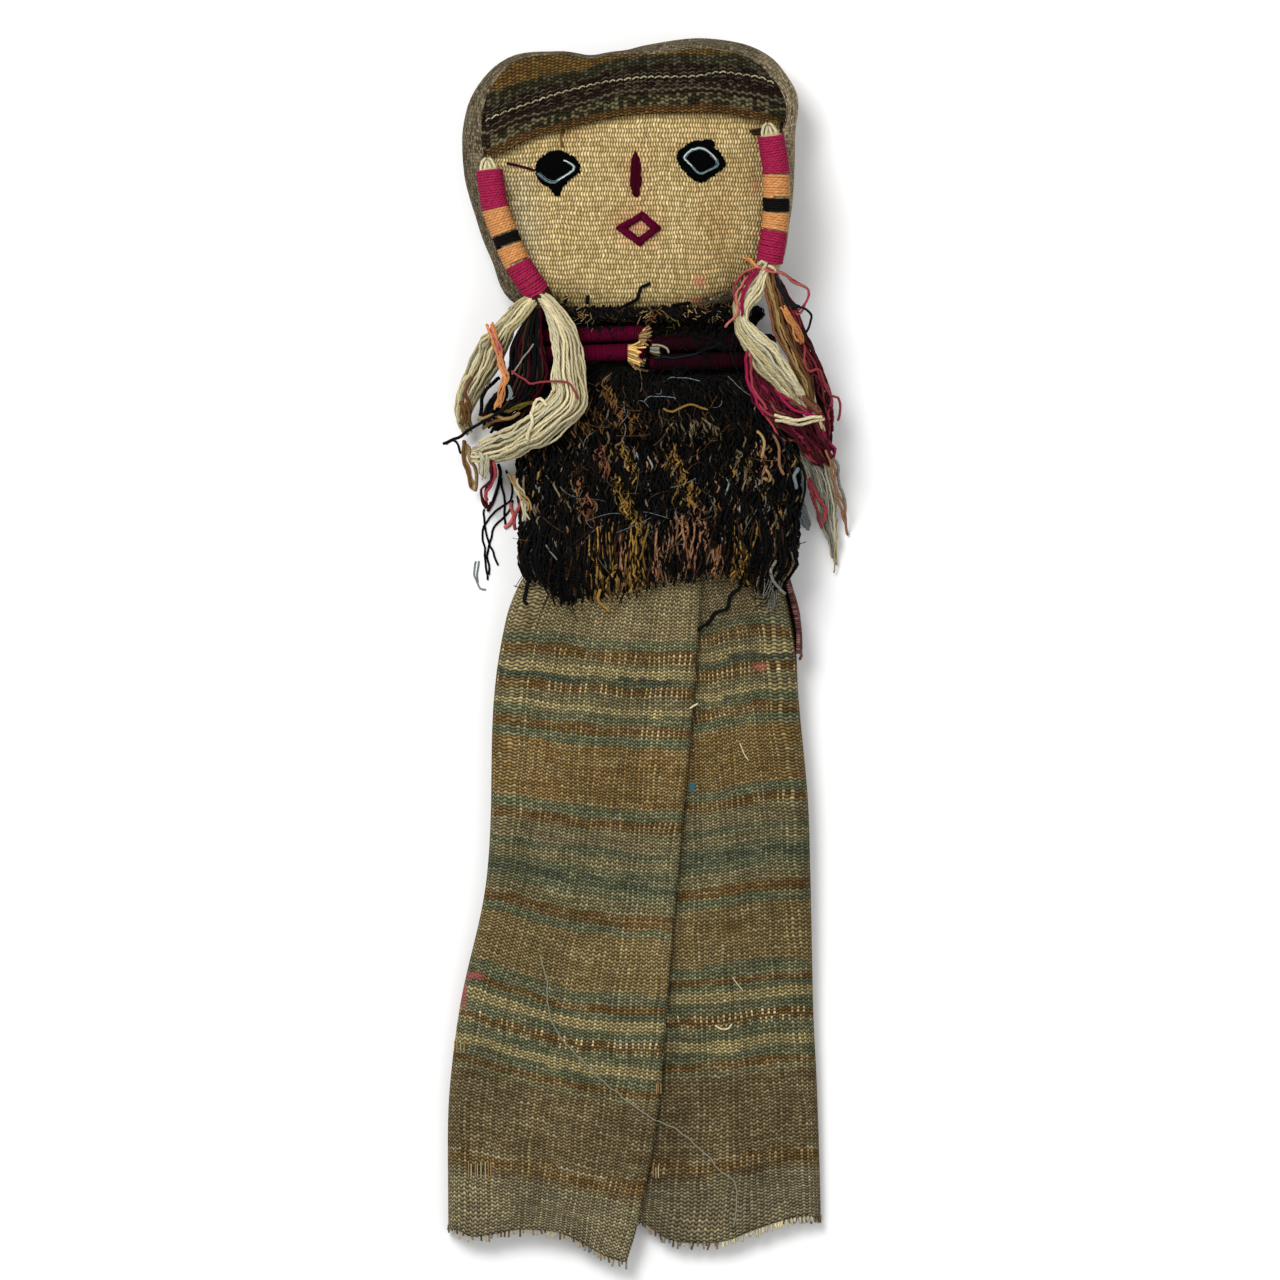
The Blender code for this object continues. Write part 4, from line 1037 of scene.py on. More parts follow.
def plain_cloth_material(name, dark, light, column, row, contrast=(0.2, 1.9)):
    """A one-coloured old cloth on its own flat lay."""
    material, tree, shader = start_material(name, 0.92, 0.06)
    cloth = add_node(tree, "ShaderNodeUVMap", uv_map="cloth").outputs["UV"]
    place = add_node(tree, "ShaderNodeTexCoord").outputs["Object"]
    weave = use_group(tree, WEAVE, {"Cloth": cloth, "Column": column * MM, "Row": row * MM,
                                    "Wave": 0.25, "Column Gap": 0.5, "Row Gap": 0.95})
    age = use_group(tree, AGE, {"Place": place, "Size": 11.0 * MM})
    base = mix_colour(tree, weave["Thread"], dark, light)
    # Darker in the gaps between threads and lighter on their tops: painted shade from the weave height.
    tone = lerp_value(tree, weave["Height"], *contrast)
    tone = calc(tree, "MULTIPLY", tone, lerp_value(tree, age["Stain"], 0.5, 1.5))
    tone = calc(tree, "MULTIPLY", tone, lerp_value(tree, age["Fuzz"], 0.8, 1.2))
    tone = calc(tree, "MULTIPLY", tone, lerp_value(tree, weave["Thread"], 0.6, 1.4))
    # Lighter right of x = 28 mm and darker left of it: painted light and painted shade across the cloth.
    parts = add_node(tree, "ShaderNodeSeparateXYZ", {0: place})
    painted_side_light = calc(tree, "MULTIPLY", calc(tree, "SUBTRACT", parts.outputs["X"], 0.028), 80.0)
    painted_side_light = calc(tree, "MINIMUM", calc(tree, "MAXIMUM", painted_side_light, 0.0), 1.0)
    tone = calc(tree, "MULTIPLY", tone, lerp_value(tree, painted_side_light, 0.66, 1.85))
    feed(tree, shader.inputs["Base Color"], mix_colour(tree, 1.0, base, tone, "MULTIPLY"))
    add_relief(tree, shader, weave["Height"], 0.2 * MM, 0.9)
    return material


BAND_BROWN = (0.069, 0.035, 0.010)
BAND_DARK = (0.0115, 0.0058, 0.0038)
BAND_GREEN = (0.017, 0.0145, 0.0065)
BAND_GOLD = (0.066, 0.037, 0.009)
# Stripes of the band from its lower edge up, in millimetres
BAND_STRIPES = (
    (0.7, BAND_BROWN), (1.3, (0.05, 0.026, 0.009)), (2.4, BAND_BROWN), (4.9, BAND_GREEN),
    (5.5, BAND_DARK), (6.1, (0.05, 0.042, 0.023)), (6.9, BAND_DARK), (7.4, (0.05, 0.038, 0.02)),
    (11.0, BAND_DARK), (11.6, (0.045, 0.036, 0.02)),
    (12.1, BAND_DARK), (15.0, BAND_GREEN), (40.0, BAND_GOLD),
)
# Where pale flecks lie on the green stripes: low, high, share
BAND_FLECKS = ((2.4, 4.9, 0.5, (0.088, 0.074, 0.038)), (4.9, 9.2, 0.2, (0.036, 0.032, 0.018)),
               (11.0, 15.0, 0.4, (0.036, 0.032, 0.018)))


def band_material():
    """The forehead cloth: brown, gold and dark green stripes with pale flecks."""
    material, tree, shader = start_material("striped forehead cloth", 0.92, 0.06)
    cloth = add_node(tree, "ShaderNodeUVMap", uv_map="cloth").outputs["UV"]
    place = add_node(tree, "ShaderNodeTexCoord").outputs["Object"]
    weave = use_group(tree, WEAVE, {"Cloth": cloth, "Column": 1.04 * MM, "Row": 0.82 * MM,
                                    "Wave": 0.25, "Column Gap": 0.6, "Row Gap": 1.0})
    age = use_group(tree, AGE, {"Place": place, "Size": 14.0 * MM})
    base = stripe_ramps(tree, weave["Row"], BAND_STRIPES, 40.0)
    for low, high, share, dye in BAND_FLECKS:
        zone = within(tree, weave["Row"], low * MM, high * MM, 0.1 * MM)
        lucky = calc(tree, "GREATER_THAN", weave["Thread"], 1.0 - share)
        mask = calc(tree, "MULTIPLY", zone, lucky)
        mask = calc(tree, "MULTIPLY", mask, lerp_value(tree, weave["Streak"], 0.1, 1.0))
        base = mix_colour(tree, mask, base, dye)
    # Darker in the gaps between threads and lighter on their tops: painted shade from the weave height.
    tone = lerp_value(tree, weave["Height"], 0.1, 2.0)
    tone = calc(tree, "MULTIPLY", tone, lerp_value(tree, weave["Thread"], 0.6, 1.4))
    tone = calc(tree, "MULTIPLY", tone, lerp_value(tree, age["Stain"], 0.7, 1.3))
    feed(tree, shader.inputs["Base Color"], mix_colour(tree, 1.0, base, tone, "MULTIPLY"))
    add_relief(tree, shader, weave["Height"], 0.3 * MM, 1.0)
    return material


TAN = (0.150, 0.117, 0.057)
GREEN = (0.082, 0.086, 0.045)
DEEP_GREEN = (0.055, 0.062, 0.036)
GREEN_TAN = (0.115, 0.098, 0.048)
BROWN = (0.092, 0.053, 0.017)
LIGHT_BROWN = (0.130, 0.081, 0.0275)
CREAM = (0.205, 0.165, 0.073)
GREY_TAN = (0.122, 0.098, 0.051)
WARM_TAN = (0.138, 0.098, 0.039)
GREY_BROWN = (0.100, 0.072, 0.034)
PALE_LINE = (0.17, 0.14, 0.075)
# Stripes of the skirt as seen at its free edge: the pixel row where each starts, top first
SKIRT_STRIPES = (
    (520, TAN), (643, GREEN), (656, BROWN), (666, GREEN_TAN), (674, CREAM), (683, DEEP_GREEN),
    (690, BROWN), (701, GREEN_TAN), (711, CREAM), (721, GREEN), (730, BROWN), (741, GREEN),
    (752, LIGHT_BROWN), (813, GREEN), (824, BROWN), (834, GREEN_TAN), (846, GREY_TAN),
    (856, GREEN), (866, GREEN_TAN), (876, GREEN), (884, DEEP_GREEN), (896, GREEN), (905, GREEN_TAN), (919, BROWN), (930, GREEN), (940, WARM_TAN),
    (998, GREEN), (1008, BROWN), (1017, GREEN), (1025, CREAM), (1037, GREEN), (1048, BROWN),
    (1058, GREEN), (1072, CREAM), (1084, GREEN), (1093, BROWN), (1103, GREEN_TAN),
    (1108, GREY_BROWN), (1184, PALE_LINE), (1187, BROWN), (1199, GREY_BROWN), (1208, (0.128, 0.107, 0.060)),
)
# Rows with pale warp ticks: the pixel rows between which they show, their share, and 1 where they
# sit on the other columns
TICK_ROWS = ((656, 666, 0.55, 0), (690, 701, 0.75, 0), (730, 741, 0.3, 0), (824, 834, 0.35, 0),
             (1008, 1017, 0.15, 0), (1045, 1052, 1.0, 0), (1053, 1060, 1.0, 1),
             (1093, 1102, 0.2, 0), (1187, 1199, 0.3, 0))
SKIRT_LENGTH = 200.0


def cloth_height(pixel_row):
    """Height on the skirt's flat cloth, in millimetres above the hem, of a row of the photograph."""
    return (PHOTO_ORIGIN[1] - pixel_row) * PIXEL / MM - SKIRT_HEM


def skirt_material():
    """The long striped cloth, woven in wavy rows, with pale ticks in its brown stripes."""
    material, tree, shader = start_material("striped skirt cloth", 0.92, 0.06)
    cloth = add_node(tree, "ShaderNodeUVMap", uv_map="cloth").outputs["UV"]
    place = add_node(tree, "ShaderNodeTexCoord").outputs["Object"]
    weave = use_group(tree, WEAVE, {"Cloth": cloth, "Column": 0.75 * MM, "Row": 0.945 * MM,
                                    "Wave": 0.25, "Column Gap": 0.5, "Row Gap": 1.0})
    age = use_group(tree, AGE, {"Place": place, "Size": 22.0 * MM})
    stripes = []
    for k in range(len(SKIRT_STRIPES) - 1, -1, -1):
        end = SKIRT_LENGTH if k == 0 else cloth_height(SKIRT_STRIPES[k][0])
        stripes.append((end, SKIRT_STRIPES[k][1]))
    uneven = calc(tree, "MULTIPLY_ADD", calc(tree, "SUBTRACT", age["Stain"], 0.5), 1.6 * MM, weave["Row"])
    base = stripe_ramps(tree, uneven, stripes, SKIRT_LENGTH)
    faded = calc(tree, "MULTIPLY", calc(tree, "SUBTRACT", weave["Streak"], 0.47), 3.4)
    faded = calc(tree, "MINIMUM", calc(tree, "MAXIMUM", faded, 0.0), 0.35)
    base = mix_colour(tree, faded, base, GREY_TAN)
    pale = calc(tree, "GREATER_THAN", weave["Thread"], 0.7)
    pale = calc(tree, "MULTIPLY", pale, lerp_value(tree, weave["Streak"], 0.1, 0.9))
    lighter = mix_colour(tree, 1.0, base, (0.034, 0.033, 0.018), "ADD")
    base = mix_colour(tree, pale, base, lighter)
    narrow = calc(tree, "LESS_THAN", calc(tree, "ABSOLUTE", weave["Across"]), 0.36)
    patch = add_node(tree, "ShaderNodeTexNoise", {"Vector": cloth, "Scale": 60.0, "Detail": 1.0})
    worn = calc(tree, "GREATER_THAN", patch.outputs["Fac"], 0.58)
    sparse = calc(tree, "MULTIPLY", narrow, lerp_value(tree, worn, 0.55, 1.0))
    sparse = calc(tree, "MULTIPLY", sparse, calc(tree, "GREATER_THAN", weave["Column"], 0.35))
    for top, bottom, share, other in TICK_ROWS:
        zone = within(tree, uneven, cloth_height(bottom) * MM, cloth_height(top) * MM, 0.25 * MM)
        columns = calc(tree, "SUBTRACT", 1.0, weave["Odd"]) if other else weave["Odd"]
        mask = calc(tree, "MULTIPLY", zone, calc(tree, "MULTIPLY", sparse, share))
        mask = calc(tree, "MULTIPLY", mask, columns)
        base = mix_colour(tree, mask, base, (0.36, 0.27, 0.13))
    # Darker in the gaps between threads and lighter on their tops: painted shade from the weave height.
    tone = lerp_value(tree, weave["Height"], 0.02, 2.05)
    tone = calc(tree, "MULTIPLY", tone, lerp_value(tree, weave["Streak"], 0.6, 1.4))
    tone = calc(tree, "MULTIPLY", tone, lerp_value(tree, weave["Thread"], 0.78, 1.22))
    tone = calc(tree, "MULTIPLY", tone, lerp_value(tree, weave["Column"], 0.86, 1.14))
    ribs = lerp_value(tree, weave["Odd"], 0.86, 1.16)
    tone = calc(tree, "MULTIPLY", tone, ribs)
    tone = calc(tree, "MULTIPLY", tone, lerp_value(tree, age["Stain"], 0.4, 1.6))
    tone = calc(tree, "MULTIPLY", tone, lerp_value(tree, age["Fuzz"], 0.85, 1.15))
    # The right panel, right of a line near the free edge, is darkened to 0.86: painted shade where the top panel
    # overlaps it.
    spots = add_node(tree, "ShaderNodeSeparateXYZ", {0: place})
    edge = calc(tree, "MULTIPLY_ADD", spots.outputs["Y"], 0.105, 13.0 * MM)
    under = calc(tree, "DIVIDE", calc(tree, "SUBTRACT", spots.outputs["X"], edge), 6.0 * MM)
    under = calc(tree, "MINIMUM", calc(tree, "MAXIMUM", under, 0.0), 1.0)
    tone = calc(tree, "MULTIPLY", tone, lerp_value(tree, under, 1.0, 0.86))
    # A narrow dark band just right of the free edge: painted shadow cast by the top panel's edge.
    shade_edge = calc(tree, "MULTIPLY_ADD", spots.outputs["Y"], 0.085, 14.3 * MM)
    past = calc(tree, "DIVIDE", calc(tree, "SUBTRACT", spots.outputs["X"], shade_edge), 3.5 * MM)
    painted_edge_shadow = calc(tree, "SUBTRACT", 1.0, calc(tree, "ABSOLUTE", calc(tree, "SUBTRACT", past, 0.2)))
    painted_edge_shadow = calc(tree, "MAXIMUM", painted_edge_shadow, 0.0)
    tone = calc(tree, "MULTIPLY", tone, lerp_value(tree, painted_edge_shadow, 1.0, 0.72))
    colour = mix_colour(tree, 1.0, base, tone, "MULTIPLY")
    for centre, size, dye, strength in (
            ((760, 666), (6.0, 3.0), (0.33, 0.11, 0.07), 0.6),
            ((474, 976), (8.0, 2.6), (0.30, 0.08, 0.08), 0.7),
            ((463, 994), (2.5, 10.0), (0.30, 0.07, 0.08), 0.8),
            ((692, 787), (2.6, 3.0), (0.03, 0.12, 0.14), 1.2),
            ((480, 1170), (9.0, 4.0), (0.03, 0.02, 0.01), 0.8),
            ((733, 928), (8.0, 5.0), (0.09, 0.05, 0.015), 0.6)):
        spot = spot_mask(tree, place, centre, size)
        mask = calc(tree, "MULTIPLY", spot, lerp_value(tree, weave["Thread"], 0.7, 2.2))
        mask = calc(tree, "MULTIPLY", mask, strength)
        colour = mix_colour(tree, calc(tree, "MINIMUM", mask, 0.9), colour, dye)
    feed(tree, shader.inputs["Base Color"], colour)
    add_relief(tree, shader, weave["Height"], 0.26 * MM, 1.0)
    return material


# Pieces


def puff(piece, limit):
    """Stuff a closed cloth: blow it up a little with cloth pressure, no point past the limit."""
    scene = bpy.context.scene
    start = [vert.co.copy() for vert in piece.data.vertices]
    cloth = piece.modifiers.new("Stuffing", "CLOTH")
    cloth.settings.use_pressure = True
    cloth.settings.uniform_pressure_force = BODY_PRESSURE
    cloth.settings.effector_weights.gravity = 0.0
    for step in range(1, BODY_FRAMES + 1):
        scene.frame_set(step)
    evaluated = piece.evaluated_get(bpy.context.evaluated_depsgraph_get())
    swollen = [vert.co.copy() for vert in evaluated.data.vertices]
    piece.modifiers.remove(cloth)
    scene.frame_set(1)
    for vert, before, after in zip(piece.data.vertices, start, swollen):
        step = after - before
        if step.length > limit:
            step *= limit / step.length
        vert.co = before + step


def make_body(material):
    """The stuffed head and trunk: a padded bag whose front is the face."""
    shape = bmesh.new()
    bmesh.ops.create_uvsphere(shape, u_segments=72, v_segments=40, radius=1.0)
    for vert in shape.verts:
        angle = math.degrees(math.atan2(vert.co.y, vert.co.x))
        share = min(math.hypot(vert.co.x, vert.co.y), 1.0)
        vert.co = head_point(angle, share, 1 if vert.co.z > 0 else -1, -BODY_SLACK)
    trunk = bmesh.new()
    bmesh.ops.create_cone(trunk, cap_ends=True, segments=48, radius1=1.0, radius2=1.0, depth=1.0)
    uprights = [e for e in trunk.edges if abs(e.verts[0].co.z - e.verts[1].co.z) > 0.5]
    bmesh.ops.subdivide_edges(trunk, edges=uprights, cuts=36)
    top = NECK_SECTIONS[0][0]
    bottom = NECK_SECTIONS[-1][0]
    for vert in trunk.verts:
        share = math.atan2(vert.co.y, vert.co.x) / math.tau
        y = round(top + (bottom - top) * (0.5 - vert.co.z), 3)
        left, right, back, front = section_at(NECK_SECTIONS, y)
        slack = TRUNK_SLACK * min(max((SKIRT_TOP - y) / TRUNK_SLACK_EASE, 0.0), 1.0)
        x, z = around((left + slack, right - slack, back, front - slack), share)
        vert.co = Vector((x, y, z)) * MM
    shape.from_mesh(finish_mesh(trunk, "trunk"))
    bmesh.ops.recalc_face_normals(shape, faces=shape.faces)
    piece = add_piece("stuffed_body_padded", finish_mesh(shape, "body"), material, "face_cloth",
                      "stuffed_body")
    remesh = piece.modifiers.new("Bag", "REMESH")
    remesh.mode = "VOXEL"
    remesh.voxel_size = BODY_VOXEL
    evaluated = piece.evaluated_get(bpy.context.evaluated_depsgraph_get())
    bag = bpy.data.meshes.new_from_object(evaluated)
    piece.modifiers.remove(remesh)
    piece.data = bag
    puff(piece, BODY_PUFF_LIMIT)
    smooth = piece.modifiers.new("Round", "SUBSURF")
    smooth.levels = 1
    smooth.render_levels = 1
    bag.shade_smooth()
    return piece


def make_hood(material):
    """The brown cloth over the back and the rim of the head, open at the neck."""
    shape = bmesh.new()
    bmesh.ops.create_uvsphere(shape, u_segments=144, v_segments=72, radius=1.0)
    geometry = list(shape.verts) + list(shape.edges) + list(shape.faces)
    bmesh.ops.bisect_plane(shape, geom=geometry, plane_co=(0, 0, HOOD_OPENING), plane_no=(0, 0, 1),
                           clear_outer=True)
    layer = shape.loops.layers.uv.new("cloth")
    spots = {}
    for vert in shape.verts:
        turn = (math.atan2(vert.co.y, vert.co.x) / math.tau) % 1.0
        spots[vert] = (turn, math.asin(max(-1.0, min(1.0, vert.co.z))))
    for face in shape.faces:
        turns = [spots[loop.vert][0] for loop in face.loops]
        for loop in face.loops:
            turn, slope = spots[loop.vert]
            if max(turns) - turn > 0.5:
                turn += 1.0
            loop[layer].uv = (turn * 270.0 * MM, slope * 30.0 * MM)
    for vert in shape.verts:
        angle = spots[vert][0] * 360.0
        ruck = 0.35 * MM * noise.noise(vert.co * 5.0)
        if vert.co.z <= 0.0:
            share = min(math.hypot(vert.co.x, vert.co.y), 1.0)
            vert.co = head_point(angle, share, -1, GAP + max(ruck, 0.0))
        else:
            rise = min(vert.co.z / HOOD_OPENING, 1.0)
            lip = math.pi / 2.0 - math.asin(smooth_value(HOOD_SEAM, angle, 360))
            vert.co = head_point(angle, math.cos(lip * rise), 1, GAP + max(ruck, 0.0))
    geometry = list(shape.verts) + list(shape.edges) + list(shape.faces)
    bmesh.ops.bisect_plane(shape, geom=geometry, plane_co=(0, HOOD_LOWER_EDGE, 0),
                           plane_no=(0, -1, 0), clear_outer=True)
    bmesh.ops.recalc_face_normals(shape, faces=shape.faces)
    piece = add_piece("hood_cloth", finish_mesh(shape, "hood"), material, "hood_cloth", "hood")
    thicken(piece, HOOD_CLOTH, 1.0)
    return piece


def band_low(across):
    """A point of the band's lower edge, in millimetres."""
    place = across * (len(BAND_LOWER_EDGE) - 1)
    x = smooth_value([(k, p[0]) for k, p in enumerate(BAND_LOWER_EDGE)], place)
    y = smooth_value([(k, p[1]) for k, p in enumerate(BAND_LOWER_EDGE)], place)
    return x, y


def make_band(material):
    """The striped cloth from the edge across the forehead up to the seam of the hood."""
    columns = 150
    rows = 44
    lows = []
    tops = []
    for column in range(columns + 1):
        across = column / columns
        low_x, low_y = band_low(across)
        lows.append(Vector((low_x * MM, low_y * MM, 0.0)))
        angle = BAND_LEFT_ANGLE + (BAND_RIGHT_ANGLE - BAND_LEFT_ANGLE) * across
        seam = smooth_value(HOOD_SEAM, angle, 360) - 0.5 * MM / head_radius(angle)
        top = head_point(angle, seam, 1, BAND_STAND_OFF)
        tops.append(Vector((top.x, top.y, 0.0)))

    def place(column, row):
        flat = lows[column].lerp(tops[column], row / rows)
        up = (flat - lows[column]).length / MM
        ridge = 0.0
        for middle, half, rise in ((3.6, 1.4, 0.35), (9.55, 0.5, 0.3), (13.2, 1.9, 0.3)):
            ridge = max(ridge, rise * (1.0 - smooth_step(0.5, 1.0, abs(up - middle) / half)))
        ruck = 0.25 * noise.noise(Vector((flat.x * 90.0, flat.y * 160.0, 3.0)))
        return on_face(flat.x, flat.y, BAND_STAND_OFF + (max(ridge + ruck, 0.0)) * MM)

    def spread(column, row):
        flat = lows[column].lerp(tops[column], row / rows)
        return flat.x, (flat - lows[column]).length

    mesh = cloth_grid("band", columns, rows, place, spread)
    piece = add_piece("forehead_band_cloth", mesh, material, "band_cloth", "forehead_band")
    thicken(piece, BAND_CLOTH, 1.0)
    return piece


def braid_point(route, y):
    """The braid's axis at one y (in millimetres), resting on the face and the hood."""
    x = smooth_value([(place[1], place[0]) for place in route], y) * MM
    lift = HOOD_CLOTH + 2.0 * GAP + BRAID_RADIUS
    return Vector((x, y * MM, on_face(x, y * MM, lift).z))


def braid_axis(side, start, end):
    """Points along a braid's axis from one y to another."""
    steps = max(3, round(abs(start - end) / 0.8))
    return [braid_point(BRAIDS[side], start + (end - start) * k / steps) for k in range(steps + 1)]


WRAP_DYES = {"magenta": (0.33, 0.016, 0.065), "orange": (0.60, 0.27, 0.095),
             "black": (0.006, 0.005, 0.004)}


def make_wraps(side, material, rng):
    """The five wraps of one braid, each a yarn wound round and round."""
    pieces = []
    for colour, start, end in WRAPS[side]:
        inset = WINDING_RADIUS / MM * 0.6
        axis = braid_axis(side, start - inset, end + inset)
        yarn = colour.split("_")[0]
        strand = wound_yarn(axis, BRAID_RADIUS, WINDING_RADIUS, WINDING_PITCH, WRAP_DYES[yarn], UP, rng)
        node = side + "_wrap_" + colour
        mesh = yarn_mesh(node, [strand])
        pieces.append(add_piece(node + "_yarn", mesh, material, yarn + "_yarn", node))
    return pieces


def make_features(material, face, rng):
    """The embroidered eyes, nose and mouth."""
    left = fill_stitches(LEFT_EYE, LEFT_EYE_OUTLINE, 38, 0.42, 0.30 * MM, "ink", face, rng, 0.7 * MM)
    left += fill_stitches(LEFT_EYE, LEFT_EYE_OUTLINE, -50, 1.1, 0.26 * MM, "ink", face, rng, 0.95 * MM)
    right = fill_stitches(RIGHT_EYE, RIGHT_EYE_OUTLINE, -36, 0.42, 0.30 * MM, "ink", face, rng, 0.7 * MM)
    right += fill_stitches(RIGHT_EYE, RIGHT_EYE_OUTLINE, 52, 1.1, 0.26 * MM, "ink", face, rng, 0.95 * MM)
    nose = fill_stitches(NOSE, NOSE_OUTLINE, 87, 0.36, 0.28 * MM, "plum", face, rng, 0.7 * MM)
    eyes = (("left_eye", left), ("right_eye", right))
    for node, strands in eyes:
        add_piece(node + "_stitches", yarn_mesh(node, strands), material, "black_yarn", node)
    add_piece("nose_embroidery", yarn_mesh("nose", nose), material, "dark_magenta_yarn", "nose_stitches")
    mouth = []
    for offset, radius in ((-0.95, 0.38), (-0.45, 0.42), (0.05, 0.46), (0.55, 0.42), (0.95, 0.34)):
        for k in range(4):
            ends = [Vector(MOUTH_RING[k]), Vector(MOUTH_RING[k + 1])]
            stretch = 1.0 + offset / 4.2
            points = []
            for step in range(8):
                t = step / 7.0
                flat = ends[0].lerp(ends[1], t) * stretch
                x = (MOUTH[0] + flat.x + rng.uniform(-0.12, 0.12)) * MM
                y = (MOUTH[1] + flat.y + rng.uniform(-0.12, 0.12)) * MM
                rise = (0.35 + 0.35 * math.sin(math.pi * t)) * MM
                points.append(Vector((x, y, height_at(face, x, y) + rise)))
            mouth.append((points, radius * MM, shade("wine", rng, 0.3)))
    add_piece("mouth_embroidery", yarn_mesh("mouth", mouth), material, "dark_magenta_yarn",
              "mouth_stitches")
    for node, centre, route, bright in (("left_eye_thread", LEFT_EYE, LEFT_EYE_THREAD, 6),
                                        ("right_eye_thread", RIGHT_EYE, RIGHT_EYE_THREAD, 9)):
        strands = []
        for places, inward, radius, dye in ((route[:bright], 0.0, 0.2, "white"),
                                            (route[bright - 1:], 0.0, 0.12, "pale teal"),
                                            (route, 0.09, 0.11, "teal"), (route, -0.07, 0.10, "teal")):
            points = []
            for spot in curve_through([(*place, 0.0) for place in places], 0.7):
                x = (centre[0] + spot.x * (1.0 - inward) + rng.uniform(-0.09, 0.09)) * MM
                y = (centre[1] + spot.y * (1.0 - inward) + rng.uniform(-0.09, 0.09)) * MM
                points.append(Vector((x, y, height_at(face, x, y) + 1.25 * MM)))
            strands.append((points, radius * MM, DYES[dye]))
        mesh = yarn_mesh(node, strands)
        add_piece(node + "_yarn", mesh, material, "white_yarn", node)


# Small threads on the head, in pixels of the photograph
CHIN_STITCHES = (((650, 284), (641, 288)), ((641, 288), (637, 300)), ((637, 300), (627, 305)),
                 ((627, 305), (619, 309)), ((588, 296), (587, 304)), ((567, 297), (565, 303)),
                 ((672, 306), (690, 303)))
EYE_SIDE_THREAD = ((507, 164), (521, 167), (534, 171))
FOREHEAD_THREAD = ((565, 131), (561, 138), (563, 148))
BAND_END_STITCHES = (((750, 132), (771, 128)), ((752, 134), (768, 134)))
LEFT_TIE = (92.8, 90.4)
BAND_THREAD = ((486, 121), (505, 113), (533, 103), (560, 94), (597, 84.5), (619, 81), (645, 78), (661, 78),
               (697, 77), (718, 73), (739, 75), (761, 78.5), (775, 84.5))
BAND_THREAD_DASH = 2.08 * MM


def make_head_threads(material, surfaces, rng):
    """The seam between hood and face, and loose stitches on the face."""
    strands = []
    for start, end in ((150, 100), (74, 24)):
        seam = []
        for k in range(90):
            angle = start + (end - start) * k / 89.0
            share = smooth_value(HOOD_SEAM, angle, 360)
            seam.append(head_point(angle, share - 0.004, 1, GAP + 0.55 * HOOD_CLOTH))
        strands.append((seam, 0.4 * MM, DYES["black"]))
    for start, end in ((150, 178), (24, 6)):
        seam = []
        for k in range(40):
            angle = start + (end - start) * k / 39.0
            share = smooth_value(HOOD_SEAM, angle, 360)
            seam.append(head_point(angle, share - 0.004, 1, GAP + 0.5 * HOOD_CLOTH))
        strands.append((seam, 0.4 * MM, DYES["black"]))
    for stitch in CHIN_STITCHES:
        strands.append(laid_yarn(stitch, surfaces, 0.42 * MM, "black", rng))
    strands.append(laid_yarn(EYE_SIDE_THREAD, surfaces, 0.32 * MM, "plum", rng))
    strands.append(laid_yarn(FOREHEAD_THREAD, surfaces, 0.3 * MM, "brown", rng))
    for stitch in BAND_END_STITCHES:
        strands.append(laid_yarn(stitch, surfaces, 0.4 * MM, "dark brown", rng))
    for offset, dye, skipped, radius in ((0.0, "pale", 0.0, 0.2), (1.0, "dim", 0.3, 0.15),
                                         (-1.1, "dim", 0.3, 0.15), (-2.1, "dim", 0.5, 0.13),
                                         (2.0, "dim", 0.5, 0.13)):
        points = curve_through([(*photo(*spot), 0.0) for spot in BAND_THREAD], BAND_THREAD_DASH / 6.0)
        for k in range(0, len(points) - 6, 6):
            if rng.random() < skipped:
                continue
            dash = []
            for step in range(6):
                point = points[k + step].copy()
                point.y += (offset - 0.22 * math.cos(math.tau * step / 6.0)) * MM
                point.z = height_at(surfaces, point.x, point.y) + 0.08 * MM
                dash.append(point)
            strands.append((dash, radius * MM, shade(dye, rng, 0.3)))
    add_piece("head_threads", yarn_mesh("head_threads", strands), material, "black_yarn")
    tie = wound_yarn(braid_axis("left", *LEFT_TIE), BRAID_RADIUS, 0.4 * MM, 0.62 * MM,
                     DYES["dark brown"], UP, rng)
    add_piece("left_braid_tie", yarn_mesh("tie", [tie]), material, "black_yarn")


def braid_yarns(side, rng):
    """The cream yarns that run through a braid's wraps, their looped tops included."""
    route = BRAIDS[side]
    start = WRAPS[side][0][1]
    end = WRAPS[side][-1][2]
    core = [braid_point(route, y) for y in np.linspace(start, end - 2.0, 24)]
    strands = [(core, 2.9 * MM, DYES["straw"])]
    for k in range(9):
        turn = math.tau * k / 9.0
        points = []
        for step in range(8):
            t = step / 7.0
            y = start - 2.0 + (4.6 + 0.7 * math.sin(k * 1.9)) * t
            reach = 2.3 * (1.0 - 0.75 * t ** 3)
            centre = braid_point(route, min(y, start + 3.0))
            sag = Vector((0, 0, -1.4 * MM * t * t))
            points.append(centre + sag + Vector((math.cos(turn), 0, math.sin(turn))) * reach * MM)
        strands.append((points, 0.42 * MM, shade("cream", rng, 0.15)))
    return strands


CREAM_MIX = (("cream", 10), ("straw", 3), ("grey cream", 1))
BROWN_MIX = (("brown", 5), ("dark brown", 4), ("tan", 3), ("maroon", 2), ("rust", 2))
MAROON_MIX = (("maroon", 7), ("magenta", 3), ("rose", 1), ("rust", 1))
OUTER_MIX = (("maroon", 4), ("rose", 3), ("dark brown", 3), ("pink brown", 1))
GREY_MIX = (("grey cream", 6), ("grey", 3), ("straw", 2))
DARK_MIX = (("black", 6), ("dark brown", 2), ("plum", 1))
ORANGE_MIX = (("orange", 3), ("tan", 1))

